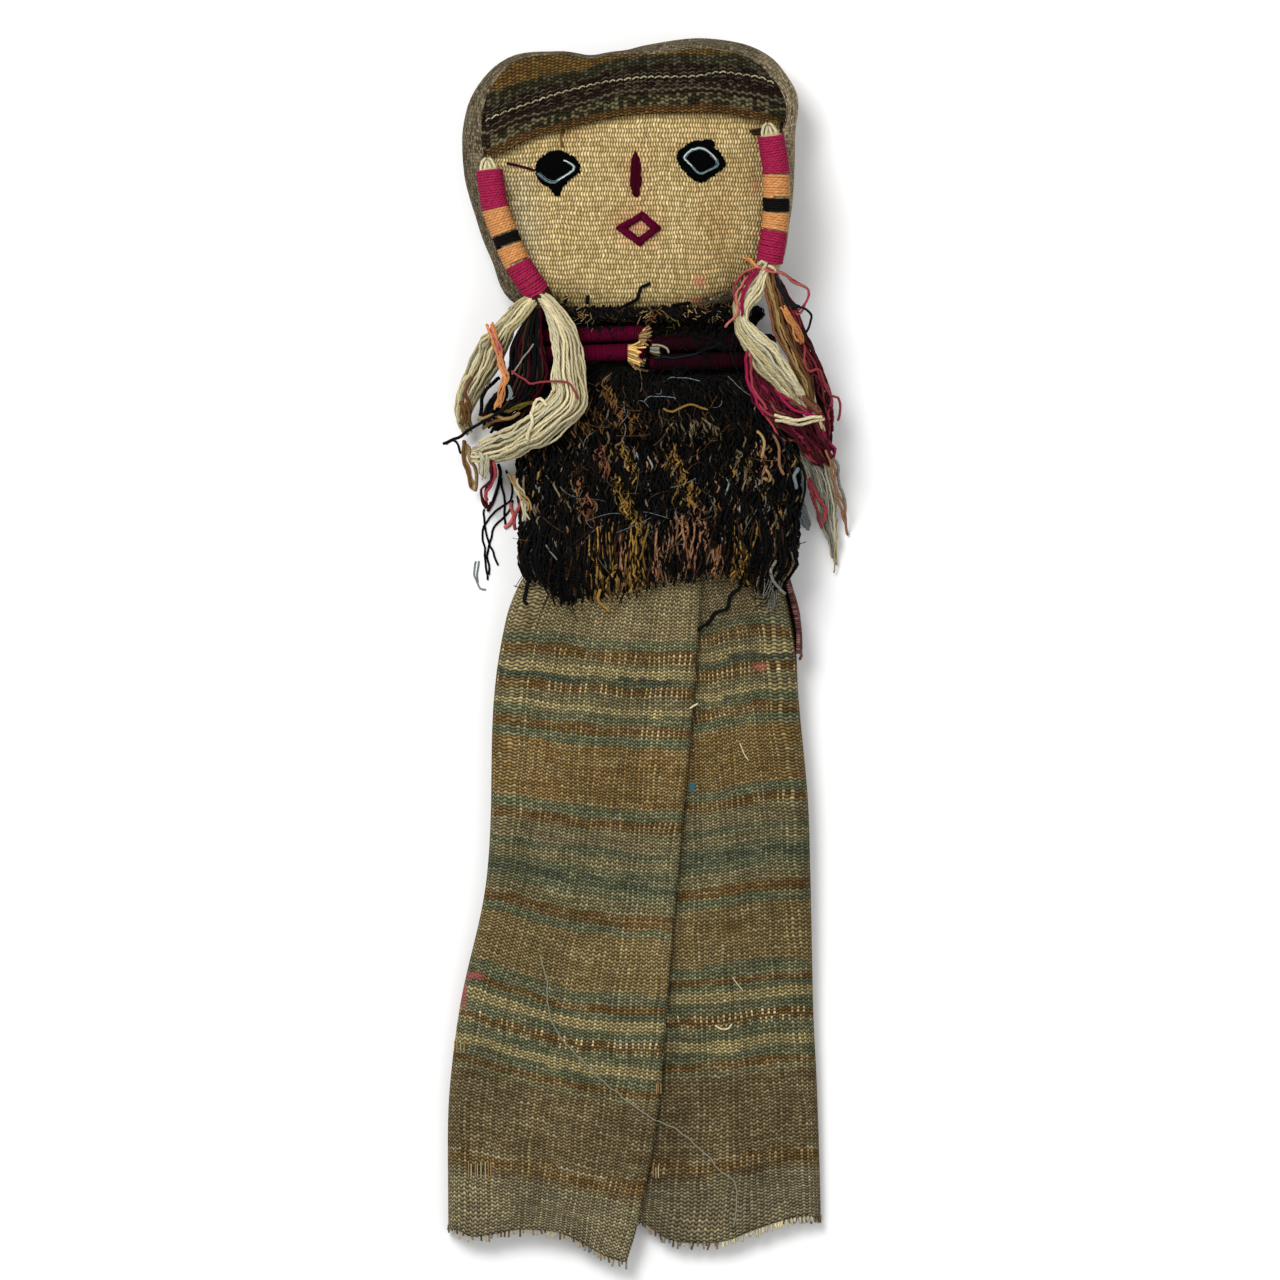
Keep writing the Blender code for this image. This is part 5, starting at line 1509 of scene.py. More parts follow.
# Black yarns inside the left tassel: a flat lock between the two cream ones
LEFT_BLACK_LOCK = (
    (-27.2, 90.4, 27.6, 1.2, 1.2), (-28.6, 85.0, 27.6, 2.6, 1.6), (-29.4, 78.0, 27.4, 4.4, 1.8),
    (-30.0, 71.0, 26.8, 5.4, 1.8), (-33.0, 65.0, 23.6, 6.0, 1.8), (-37.0, 60.6, 18.4, 5.4, 1.8),
    (-39.4, 57.6, 14.0, 4.0, 1.6),
)
LEFT_STRANDS = (
    (((489, 325), (496, 345), (504, 370), (506, 378), (501, 395), (497, 408)), 1.0, "orange"),
    (((490, 329), (499, 349), (505, 373)), 0.9, "pink"),
    (((513, 372), (524, 380), (533, 384), (545, 383), (562, 382), (573, 388), (577, 400)), 0.3, "rose"),
    (((500, 378), (488, 388), (481, 400), (480, 416)), 0.5, "black"),
    (((538, 382), (520, 402), (494, 415), (470, 429), (452, 440), (442, 443)), 0.42, "black"),
    (((533, 345), (520, 364), (512, 374)), 0.22, "grey"),
    (((507, 412), (516, 408), (528, 404), (534, 404)), 1.1, "olive"),
    (((509, 386), (511, 394), (509, 400)), 0.7, "blue grey"),
    (((462, 402), (466, 414), (463, 424)), 1.0, "brown"),
    (((470, 378), (466, 392), (470, 408), (468, 420)), 0.45, "rust"),
    (((478, 420), (492, 416), (508, 418), (520, 414)), 0.5, "tan"),
    (((482, 428), (496, 421), (512, 419)), 0.45, "brown"),
    (((543, 402), (533, 412), (531, 424), (527, 440)), 0.5, "cream"),
    (((548, 407), (541, 399), (534, 404), (531, 418)), 0.45, "cream"),
    (((446, 443), (452, 440), (458, 444), (461, 452)), 0.3, "black"),
)
LEFT_TAIL_STRANDS = (
    (((466, 444), (465, 458), (470, 474), (473, 488)), 0.6, "tan"),
    (((463, 440), (463, 456), (467, 470), (471, 486)), 0.5, "brown"),
    (((468, 446), (471, 460), (476, 474), (474, 490)), 0.5, "tan"),
    (((491, 461), (493, 474), (489, 484), (483, 489), (483, 500), (488, 508), (492, 502)), 0.75, "maroon"),
    (((494, 462), (495, 472), (491, 484), (486, 492), (487, 500)), 0.5, "rose"),
    (((498, 464), (499, 476), (495, 492), (490, 506), (488, 511)), 0.45, "black"),
    (((505, 470), (512, 485), (511, 498), (500, 508), (490, 515), (485, 524), (483, 535), (485, 555),
      (486, 580)), 0.28, "black"),
    (((500, 478), (503, 495), (505, 510), (504, 524)), 0.3, "black"),
    (((484, 508), (485, 525), (488, 540), (493, 552), (498, 565)), 0.28, "black"),
    (((513, 500), (505, 515), (495, 525), (489, 542), (488, 560), (489, 575)), 0.28, "black"),
    (((511, 502), (513, 514), (510, 524), (504, 528)), 0.5, "pink"),
    (((522, 498), (519, 508), (515, 518), (515, 529)), 0.5, "rose"),
    (((515, 480), (520, 492), (524, 506), (527, 520)), 0.9, "grey cream"),
    (((510, 474), (516, 484), (523, 496), (530, 510)), 0.8, "tan"),
    (((476, 560), (474, 570), (475, 580), (480, 587), (486, 589)), 0.24, "blue grey"),
    (((478, 560), (477, 572), (478, 582)), 0.24, "blue grey"),
    (((479, 452), (480, 462), (481, 474)), 0.8, "grey cream"),
    (((486, 456), (487, 466), (484, 478)), 0.8, "grey cream"),
)
RIGHT_STRANDS = (
    (((757, 272), (744, 283), (736, 297), (738, 312), (733, 320), (726, 328)), 0.35, "pink"),
    (((756, 270), (748, 282), (741, 298), (742, 315)), 0.75, "magenta"),
    (((752, 271), (740, 279), (734, 290), (736, 305)), 0.3, "rose"),
    (((733, 283), (745, 272), (757, 269), (770, 272), (784, 275), (792, 282), (800, 285), (808, 291),
      (808, 298), (804, 308), (798, 315), (794, 312)), 0.34, "pink"),
    (((755, 268), (768, 270), (782, 274), (796, 283), (806, 288), (807, 300), (800, 309),
      (792, 314)), 0.28, "rose"),
    (((776, 279), (781, 290), (785, 302), (792, 307), (802, 308), (809, 313), (810, 322), (806, 332),
      (803, 337)), 0.34, "blue black"),
    (((777, 284), (784, 296), (790, 304), (800, 307)), 0.3, "blue black"),
    (((758, 266), (762, 262), (766, 265), (762, 270)), 0.5, "cream"),
    (((766, 266), (772, 268), (776, 272)), 0.5, "cream"),
    (((745, 259), (750, 262), (755, 268)), 1.0, "orange"),
    (((783, 309), (790, 322), (797, 334), (800, 344)), 1.0, "orange"),
    (((785, 312), (793, 328), (799, 342)), 0.8, "orange"),
    (((804, 398), (810, 406), (818, 414)), 1.2, "rust"),
    (((747, 352), (746, 366), (749, 384), (756, 400), (764, 415)), 0.45, "magenta"),
    (((751, 356), (750, 372), (755, 392), (766, 410)), 0.4, "rose"),
    (((774, 416), (785, 418), (797, 421), (810, 418), (822, 417)), 0.42, "cream"),
    (((776, 420), (788, 423), (798, 425), (812, 421), (824, 420)), 0.42, "cream"),
    (((780, 417), (792, 421), (806, 418), (816, 416)), 0.38, "cream"),
    (((814, 418), (820, 422), (822, 430)), 0.6, "straw"),
    (((798, 338), (804, 350), (805, 365), (809, 372), (818, 370), (822, 380), (830, 396), (838, 398),
      (841, 408), (838, 420)), 0.34, "rose"),
    (((816, 378), (826, 386), (832, 398), (828, 412), (830, 420)), 0.34, "rose"),
    (((812, 372), (820, 382), (818, 392), (824, 402), (832, 410), (834, 420)), 0.3, "maroon"),
    (((819, 385), (822, 400), (825, 416)), 0.45, "black"),
    (((826, 418), (828, 430), (828, 445), (831, 458)), 0.35, "maroon"),
    (((778, 429), (788, 442), (797, 457), (803, 470), (804, 490), (801, 505), (797, 522), (795, 545),
      (794, 568)), 0.36, "black"),
    (((768, 430), (780, 440), (790, 458)), 0.3, "blue black"),
    (((808, 478), (811, 492), (816, 505), (820, 520), (822, 528)), 0.6, "rose"),
    (((812, 480), (818, 496), (826, 508), (824, 522)), 0.5, "rose"),
    (((832, 458), (838, 466), (839, 478), (841, 490), (846, 500), (846, 512)), 0.45, "grey"),
    (((829, 452), (834, 466), (835, 480), (840, 494), (844, 506), (846, 522), (849, 534)), 0.35, "pink brown"),
    (((826, 450), (831, 470), (836, 490), (842, 512), (846, 524)), 0.35, "pink brown"),
    (((838, 520), (837, 536), (835, 552), (835, 572)), 0.22, "straw"),
    (((795, 500), (790, 506), (792, 512), (798, 506)), 0.26, "black"),
    (((799, 468), (794, 476), (796, 488)), 0.5, "blue grey"),
)


def make_tassels(material, base, rng):
    """The tassels: cream and coloured locks, then single loose yarns over them."""
    left = braid_yarns("left", rng)
    left += lock_yarns(LEFT_BLACK_LOCK, 60, 0.34 * MM, DARK_MIX, rng)
    left += lock_yarns(LEFT_INNER_LOCK, 56, 0.36 * MM, CREAM_MIX, rng)
    left += lock_yarns(LEFT_OUTER_LOCK, 38, 0.36 * MM, CREAM_MIX, rng)
    mesh = yarn_mesh("left_tassel", left)
    left_tassel = add_piece("left_tassel_locks", mesh, material, "cream_yarn", "left_tassel")
    right = braid_yarns("right", rng)
    right += lock_yarns(RIGHT_MAROON_LOCK, 52, 0.36 * MM, MAROON_MIX, rng, curl=0.6)
    right += lock_yarns(RIGHT_BROWN_LOCK, 26, 0.38 * MM, BROWN_MIX, rng)
    right += lock_yarns(RIGHT_OUTER_LOCK, 20, 0.34 * MM, OUTER_MIX, rng, curl=0.6)
    right += lock_yarns(RIGHT_FOLDED_LOCK, 42, 0.38 * MM, CREAM_MIX, rng)
    right += lock_yarns(RIGHT_GREY_LOCK, 34, 0.28 * MM, GREY_MIX, rng, ragged=0.35)
    right += lock_yarns(RIGHT_BLUE_LOCK, 18, 0.34 * MM, (("blue grey", 3), ("grey", 2)), rng)
    mesh = yarn_mesh("right_tassel", right)
    right_tassel = add_piece("right_tassel_locks", mesh, material, "cream_yarn", "right_tassel")
    singles = (("left_tassel_strands", LEFT_STRANDS + LEFT_TAIL_STRANDS, left_tassel),
               ("right_tassel_strands", RIGHT_STRANDS, right_tassel))
    for name, group, tassel in singles:
        strands = laid_strands(group, base + surface_of(tassel), rng, 0.5 * MM)
        add_piece(name, yarn_mesh(name, strands), material, "cream_yarn")
    return [left_tassel, right_tassel]


def make_shawl(material):
    """The ground cloth of the shawl, closed round the neck and chest."""
    top = SHAWL_OUTER[0][0]
    bottom = SHAWL_OUTER[-1][0]

    def place(share, down):
        y = round(top + (bottom - top) * down, 3)
        x, z = around(section_at(SHAWL_OUTER, y), share)
        ruck = 1.0 - 0.02 * noise.noise(Vector((x * 0.2, y * 0.2, 5.0)))
        return Vector((x, y, max(z * ruck, 0.05))) * MM

    mesh = cloth_sleeve("shawl", 120, 80, place, 190.0 * MM)
    piece = add_piece("shawl_cloth", mesh, material, "dark_pile", "shawl")
    thicken(piece, 1.0 * MM, -1.0)
    return piece


PILE_MIX = (("black", 76), ("dark brown", 5), ("fleck", 11), ("pink brown", 2), ("gold", 2),
            ("brown", 2), ("blue grey", 1), ("grey", 1))
UPPER_MIX = (("black", 84), ("dark brown", 12), ("fleck", 3), ("brown", 1))
COLLAR_MIX = (("black", 76), ("dark brown", 16), ("fleck", 4), ("olive", 3), ("brown", 1))
# Streaks of coloured pile: ends in photograph pixels, width in millimetres, dye
PILE_STREAKS = (
    ((622, 440), (632, 470), 2.0, "gold"), ((618, 480), (640, 545), 3.4, "gold"),
    ((612, 560), (618, 596), 2.4, "gold"), ((640, 545), (636, 590), 3.4, "gold"),
    ((655, 548), (660, 576), 1.8, "pink brown"), ((672, 455), (690, 500), 3.2, "gold"),
    ((692, 505), (715, 560), 2.8, "pink brown"), ((715, 555), (720, 582), 2.2, "pink brown"),
    ((677, 520), (688, 552), 2.0, "pink brown"), ((738, 550), (742, 580), 3.6, "gold"),
    ((578, 470), (594, 525), 2.6, "rust"), ((600, 445), (606, 470), 2.4, "rust"),
    ((735, 455), (745, 480), 3.4, "fleck"), ((760, 450), (764, 470), 2.0, "pink brown"),
    ((560, 415), (600, 432), 2.0, "brown"), ((578, 395), (600, 418), 2.6, "brown"),
    ((604, 388), (634, 424), 3.0, "brown"), ((610, 425), (650, 431), 1.6, "brown"),
    ((665, 425), (720, 432), 1.4, "fleck"), ((592, 545), (606, 590), 2.4, "gold"),
)
# Lower edge of the shawl's fringe, in photograph pixels
FRINGE_EDGE = ((520, 596), (545, 602), (575, 600), (600, 594), (640, 586), (690, 578), (720, 574),
               (745, 578), (765, 592), (790, 588))


# Thicker clumps along that edge: pixel across the photograph, dye
FRINGE_CLUMPS = (
    (528, "black"), (534, "black"), (541, "black"), (549, "black"), (556, "black"), (563, "black"),
    (571, "black"), (578, "dark brown"), (585, "black"), (592, "gold"), (599, "gold"), (607, "brown"),
    (615, "gold"), (622, "pink brown"), (630, "gold"), (640, "gold"), (650, "pink brown"),
    (662, "pink brown"), (675, "pink brown"), (690, "pink brown"), (705, "pink brown"),
    (716, "pink brown"), (727, "black"), (736, "gold"), (744, "gold"), (752, "black"),
    (759, "black"), (766, "fleck"), (773, "black"), (780, "black"),
)


def streak_dye(x, y, rng):
    """The dye of a coloured streak at x, y in metres, or none."""
    for start, end, width, dye in PILE_STREAKS:
        first = Vector(photo(*start))
        last = Vector(photo(*end))
        line = last - first
        t = min(max((Vector((x, y)) - first).dot(line) / line.length_squared, 0.0), 1.0)
        distance = (Vector((x, y)) - first - line * t).length / MM
        if distance < 0.5 * width and rng.random() < 0.6:
            return dye
    return None


def pile_strand(share, y, length, rng, mix, lift, lean=0.0):
    """One strand of pile on the shawl, from its root down the cloth. y is in millimetres."""
    steps = 5
    wave = rng.uniform(0.0, math.tau)
    sway = rng.uniform(-0.007, 0.007)
    points = []
    for k in range(steps + 1):
        t = k / steps
        level = y - length * t
        at = share + sway * t + 0.0032 * math.sin(wave + 7.0 * t) + lean * t
        section = section_at(SHAWL_OUTER, round(max(level, SHAWL_OUTER[-1][0]), 1))
        x, z = around(section, at)
        x2, z2 = around(section, at + 0.004)
        normal = Vector((z2 - z, 0.0, x - x2)).normalized()
        rise = lift * (0.25 + math.sin(math.pi * min(t * 1.15, 1.0)))
        if level < SHAWL_OUTER[-1][0]:
            rise -= 0.30 * (SHAWL_OUTER[-1][0] - level)
        points.append(Vector((x + normal.x * rise, level, max(z + normal.z * rise, 0.4))) * MM)
    dye = streak_dye(points[2].x, points[2].y, rng) if normal.z > 0.2 else None
    if dye is None:
        dye = pick(rng, mix)
    return points, rng.uniform(0.2, 0.34) * MM, shade(dye, rng, 0.45)


@functools.lru_cache(maxsize=None)
def share_at(x):
    """The share round the lower edge of the shawl at which its front has this x."""
    section = section_at(SHAWL_OUTER, SHAWL_OUTER[-1][0])
    return min((abs(around(section, k / 1000.0)[0] - x), k / 1000.0) for k in range(-250, 251))[1]


def make_pile(material, rng):
    """The pile of the shawl: thousands of short strands hanging down it in rows."""
    edge = sorted(photo(*spot) for spot in FRINGE_EDGE)
    xs = [spot[0] / MM for spot in edge]
    ys = [spot[1] / MM for spot in edge]
    lower = []
    y = 57.0
    while y > 23.5:
        section = section_at(SHAWL_OUTER, round(y, 1))
        count = int(girth(section) / 0.72)
        for k in range(count):
            share = (k + rng.random()) / count
            back = 0.3 < share < 0.7
            if back and rng.random() < 0.7:
                continue
            start = y + rng.uniform(-1.4, 1.4)
            length = rng.uniform(3.5, 7.0)
            x = around(section, share)[0]
            limit = start - float(np.interp(x, xs, ys)) + rng.uniform(-1.2, 1.6)
            if back:
                limit = start - 18.0
            length = max(2.0, min(length, limit))
            lower.append(pile_strand(share, start, length, rng, PILE_MIX, rng.uniform(0.4, 1.7)))
        y -= 2.0
    y = 27.5
    for k in range(260):
        share = rng.random()
        section = section_at(SHAWL_OUTER, y)
        x = around(section, share)[0]
        bottom = float(np.interp(x, xs, ys)) + rng.uniform(-1.6, 1.4)
        if 0.3 < share < 0.7:
            bottom = 19.0
        lower.append(pile_strand(share, y, y - bottom, rng, PILE_MIX, rng.uniform(0.7, 1.8)))
    for start, end, width, dye in PILE_STREAKS:
        first = Vector(photo(*start)) / MM
        line = Vector(photo(*end)) / MM - first
        for k in range(int(line.length * width * 0.42) + 2):
            spot = first + line * rng.random()
            share = share_at(round(spot.x + rng.gauss(0.0, 0.28) * width, 1))
            lower.append(pile_strand(share, spot.y + 1.5, rng.uniform(2.0, 4.6), rng,
                                     ((dye, 4), ("brown", 1)), rng.uniform(1.3, 2.5),
                                     rng.uniform(-0.006, 0.006)))
    for px, dye in FRINGE_CLUMPS:
        x = photo(px, 0)[0] / MM
        share = share_at(x)
        lean = rng.uniform(-0.008, 0.008)
        for k in range(8):
            bottom = float(np.interp(x, xs, ys)) + rng.uniform(-1.0, 3.4)
            top = y + rng.uniform(-1.0, 8.0)
            strand = pile_strand(share + rng.uniform(-0.012, 0.012), top, top - bottom + 0.4, rng,
                                 ((dye, 5), ("black", 3), ("dark brown", 2)), rng.uniform(1.0, 2.8), lean)
            lower.append((strand[0], rng.uniform(0.2, 0.34) * MM, strand[2]))
    upper = []
    for y, low_length, lift in ((71.4, 4.0, 1.2), (68.6, 5.0, 1.4), (66.0, 5.5, 1.4), (63.2, 6.0, 1.4),
                                (60.4, 6.0, 1.6)):
        section = section_at(SHAWL_OUTER, y)
        count = int(girth(section) / 0.8)
        for k in range(count):
            share = (k + rng.random()) / count
            length = min(rng.uniform(low_length - 1.0, low_length + 2.0), y - rng.uniform(55.0, 57.0))
            upper.append(pile_strand(share, y + rng.uniform(-1, 1), length, rng, UPPER_MIX, lift))
    for y, length in ((88.8, 2.2), (88.0, 2.6), (87.2, 2.6), (86.4, 2.4), (85.6, 2.2)):
        section = section_at(SHAWL_OUTER, y)
        count = int(girth(section) / 0.7)
        for k in range(count):
            share = (k + rng.random()) / count
            strand = pile_strand(share, y + rng.uniform(-0.4, 0.7), length + rng.uniform(-1, 1), rng,
                                 COLLAR_MIX, rng.uniform(0.4, 1.3), rng.uniform(-0.02, 0.02))
            upper.append(strand)
    pieces = []
    for name, strands in (("shawl_pile_lower", lower), ("shawl_pile_upper", upper)):
        pieces.append(add_piece(name, yarn_mesh(name, strands, sides=4), material, "dark_pile"))
    return pieces


def make_neck_cords(material, rng):
    """The two magenta cords, wound with yarn, with frayed ends that meet on the front."""
    pieces = []
    left, right, back, front = NECK_CORD_GROOVE
    for name, radius, left_y, right_y in NECK_CORDS:
        spread = radius + 0.45
        depth = front - back
        side = SIDE_SHARE * depth + spread
        axis = []
        columns = [(0, k / 16) for k in range(16)] + [(1, k / 14) for k in range(14)]
        columns += [(2, k / 20) for k in range(20)] + [(3, k / 14) for k in range(14)]
        columns += [(4, k / 16) for k in range(17)]
        for k, (stretch, t) in enumerate(columns):
            x, z = wrap_point(stretch, t, left - spread, right + spread, back - spread, side,
                              CROWN_SHARE * depth, NECK_CORD_LEFT_END, NECK_CORD_RIGHT_END)
            y = left_y + (right_y - left_y) * k / (len(columns) - 1)
            axis.append(Vector((x, y, z)) * MM)
        core = (axis, (radius - 0.35) * MM, DYES["plum"])
        # The right half is wound with a much darker copy of the wine yarn: painted shade where the chin and the
        # right tassel shade the cords.
        half = len(axis) // 2
        bright = wound_yarn(axis[:half + 1], radius * MM, 0.34 * MM, 0.56 * MM, DYES["wine"],
                            HEAD_END, rng, steps=10)
        dark = wound_yarn(axis[half:], radius * MM, 0.34 * MM, 0.56 * MM, (0.014, 0.0011, 0.003),
                          HEAD_END, rng, steps=10)
        mesh = yarn_mesh(name, [core, bright, dark], sides=6)
        pieces.append(add_piece(name + "_yarn", mesh, material, "dark_magenta_yarn", name))
    return pieces


# Frayed ends of the neck cords: photograph pixel, heading, how many, length, dyes
FRAYS = (
    ((645, 337), (1.0, 0.15), 40, 2.9, (("pink brown", 4), ("tan", 2), ("yellow", 1)), 1.5),
    ((634, 354), (1.0, -0.3), 110, 4.0, (("yellow", 6), ("tan", 2), ("gold", 1)), 2.2),
    ((656, 349), (1.0, 0.0), 26, 3.0, (("dust", 3), ("grey", 2), ("olive", 2)), 1.0),
    ((645, 367), (1.0, -0.2), 18, 2.6, (("grey", 3), ("tan", 2)), 1.1),
)
# Yarns on the neck and the shawl: route in photograph pixels, radius in millimetres, dye
SHAWL_STRANDS = (
    (((655, 358), (672, 358), (690, 356), (706, 350), (720, 344)), 0.3, "blue black"),
    (((652, 346), (660, 345), (667, 348), (669, 353)), 0.3, "dust"),
    (((664, 409), (672, 412), (681, 409), (690, 405), (700, 409), (708, 411)), 0.3, "gold"),
    (((664, 382), (672, 378), (690, 379), (700, 382)), 0.1, "blue grey"),
    (((644, 402), (650, 397), (662, 397), (676, 399)), 0.1, "blue grey"),
    (((728, 376), (736, 386), (750, 396), (762, 403)), 0.1, "blue grey"),
    (((750, 330), (752, 352), (749, 388)), 0.12, "blue black"),
    (((735, 330), (731, 352), (739, 376)), 0.12, "blue black"),
    (((556, 560), (550, 552), (546, 545)), 0.2, "grey"),
    (((772, 434), (778, 448), (779, 464), (784, 475)), 0.4, "pink brown"),
    (((757, 431), (762, 436), (764, 448), (762, 458)), 0.4, "tan"),
    (((766, 470), (771, 476), (769, 482), (764, 478)), 0.6, "tan"),
    (((600, 590), (598, 598), (602, 606), (610, 611)), 0.45, "gold"),
    (((528, 582), (526, 592), (524, 600), (528, 604)), 0.5, "black"),
    (((775, 560), (770, 572), (776, 584), (784, 594)), 0.4, "grey"),
)
COLLAR_FLECKS = (((583, 312), 12, "tan"), ((590, 322), 10, "fleck"), ((560, 300), 6, "gold"),
                 ((566, 330), 6, "fleck"), ((645, 312), 12, "tan"), ((652, 318), 10, "brown"),
                 ((690, 312), 12, "tan"), ((703, 308), 8, "rust"), ((712, 318), 10, "fleck"),
                 ((672, 322), 8, "olive"), ((725, 305), 8, "brown"), ((548, 296), 6, "brown"))
# Loose hairs: middle and spread in photograph pixels, how many, longest reach, radius, dyes
BLACK_HAIR = (("black", 1),)
PILE_HAIR = (("black", 8), ("dark brown", 3), ("brown", 2), ("fleck", 1), ("blue grey", 1))
HAIRS = (((715, 340), (30, 12), 120, 3.4, 0.13, BLACK_HAIR), ((690, 372), (36, 4), 70, 3.0, 0.13, BLACK_HAIR),
         ((600, 326), (30, 3), 60, 2.4, 0.13, BLACK_HAIR), ((600, 366), (30, 4), 50, 2.4, 0.13, BLACK_HAIR),
         ((650, 410), (90, 26), 130, 6.0, 0.07, PILE_HAIR), ((650, 500), (90, 50), 170, 6.0, 0.07, PILE_HAIR),
         ((560, 570), (36, 20), 90, 6.0, 0.1, BLACK_HAIR), ((760, 560), (16, 22), 60, 6.0, 0.1, BLACK_HAIR))
GREY_TUFT = ((774, 592), (4.0, 9.0))


def make_shawl_trims(material, surfaces, rng):
    """Frayed cord ends, flecks on the collar and loose yarns on the shawl."""
    strands = []
    for spot, heading, count, length, mix, radius in FRAYS:
        x, y = photo(*spot)
        z = height_at(surfaces, x - 1.0 * MM, y) - 0.6 * radius * MM
        for k in range(count):
            out = math.sqrt(rng.random()) * radius * MM
            turn = rng.uniform(0.0, math.tau)
            root = Vector((x - 1.5 * MM, y + out * math.cos(turn), z + out * math.sin(turn)))
            way = Vector((heading[0], heading[1] + 0.7 * math.cos(turn) * rng.random(),
                          0.25 + 0.4 * math.sin(turn))).normalized()
            reach = length * rng.uniform(0.5, 1.1) * MM
            strands.append(tuft(root, way, reach, 0.26 * MM, shade(pick(rng, mix), rng), rng, bend=0.2))
    for spot, count, dye in COLLAR_FLECKS:
        x, y = photo(*spot)
        for k in range(count):
            root = Vector((x + rng.gauss(0, 1.2) * MM, y + rng.gauss(0, 0.9) * MM, 0.0))
            root.z = height_at(surfaces, root.x, root.y) + 0.9 * MM
            way = Vector((rng.uniform(-1, 1), rng.uniform(-1, 0.3), 0.15)).normalized()
            strands.append(tuft(root, way, rng.uniform(0.8, 1.8) * MM, 0.12 * MM, shade(dye, rng, 0.6), rng))
    for spot, spread, count, reach, radius, mix in HAIRS:
        for k in range(count):
            x, y = photo(spot[0] + rng.gauss(0, 0.6) * spread[0], spot[1] + rng.gauss(0, 0.6) * spread[1])
            root = Vector((x, y, height_at(surfaces, x, y) + 0.12 * MM))
            if root.z < 8.0 * MM:
                continue
            way = Vector((rng.uniform(-0.8, 0.8), rng.uniform(-1.0, 0.6), 0.05)).normalized()
            hair = tuft(root, way, rng.uniform(0.4, 1.0) * reach * MM, radius * MM,
                        shade(pick(rng, mix), rng), rng, steps=7, bend=1.0)
            for point in hair[0]:
                point.z = max(point.z, height_at(surfaces, point.x, point.y) + 0.1 * MM)
            strands.append(hair)
    strands += laid_strands(SHAWL_STRANDS, surfaces, rng, 0.4 * MM)
    x, y = photo(*GREY_TUFT[0])
    for k in range(45):
        root = Vector((x + rng.gauss(0, 1.0) * MM, y + rng.uniform(-3.0, 3.5) * MM, 0.0))
        root.z = height_at(surfaces, root.x, root.y) + 0.3 * MM
        way = Vector((rng.uniform(-0.7, 0.4), -1.0, 0.2)).normalized()
        strands.append(tuft(root, way, rng.uniform(1.5, 4.0) * MM, 0.08 * MM, shade("grey", rng), rng))
    add_piece("shawl_loose_yarns", yarn_mesh("shawl_loose_yarns", strands), material, "cream_yarn")


def skirt_spot(column, row, columns):
    """A point of the skirt's cloth and its distance across it, in millimetres."""
    stretch, t = columns[column]
    q = SKIRT_TOP + (SKIRT_HEM - SKIRT_TOP) * row / SKIRT_ROWS
    left_rise = smooth_value(LEFT_RISE, q)
    right_rise = smooth_value(RIGHT_RISE, q)
    side = smooth_value(SKIRT_FOLD_RADIUS, q)
    hem = smooth_step(HEM_BLEND[0], HEM_BLEND[1], q)
    free = smooth_value(SKIRT_FREE_EDGE, q)
    left = smooth_value(SKIRT_LEFT, q)
    fold_share = side / (free - left)
    if stretch == 0:
        share = 1.0 - t * (1.0 - fold_share)
        rise = left_rise * (1.0 - share) ** smooth_value(LEFT_SAG, q)
        rise += (smooth_value(LEFT_HEM, share) - rise) * hem
    elif stretch == 1:
        share = fold_share * (1.0 - t)
        rise = left_rise * (1.0 - share) ** smooth_value(LEFT_SAG, q)
        rise += (smooth_value(LEFT_HEM, share) - rise) * hem
    elif stretch == 2:
        rise = left_rise + (right_rise - left_rise) * t
    elif stretch == 3:
        rise = right_rise
    else:
        rise = right_rise - smooth_value(RIGHT_SAG, q) * smooth_step(0.0, 0.5, t)
        rise += (smooth_value(RIGHT_HEM, t) - rise) * hem
    y = q + rise
    free = smooth_value(SKIRT_FREE_EDGE, y)
    x, z = wrap_point(stretch, t, smooth_value(SKIRT_LEFT, y), smooth_value(SKIRT_RIGHT, y),
                      smooth_value(SKIRT_LIFT, y), smooth_value(SKIRT_FOLD_RADIUS, y),
                      smooth_value(SKIRT_CROWN, y), free, free - smooth_value(SKIRT_OVERLAP, y),
                      SKIRT_LAYER)
    if stretch in (0, 4):
        swell = noise.noise(Vector((x * 0.055, y * 0.03, stretch * 4.0)))
        pucker = noise.noise(Vector((x * 0.16, y * 0.05, 7.0 + stretch)))
        ease = math.sin(math.pi * min(max(t, 0.0), 1.0)) ** 0.5 if stretch == 0 else 1.0 - t
        z += ease * (0.9 * swell + 0.4 * pucker)
        spot = Vector((x, y))
        for start, end, width, height in SKIRT_FOLDS:
            first = Vector(photo(*start)) / MM
            line = Vector(photo(*end)) / MM - first
            along = min(max((spot - first).dot(line) / line.length_squared, 0.0), 1.0)
            away = (spot - first - line * along).length / width
            z += ease * height * math.exp(-away * away)
    return Vector((x, y, z)), q


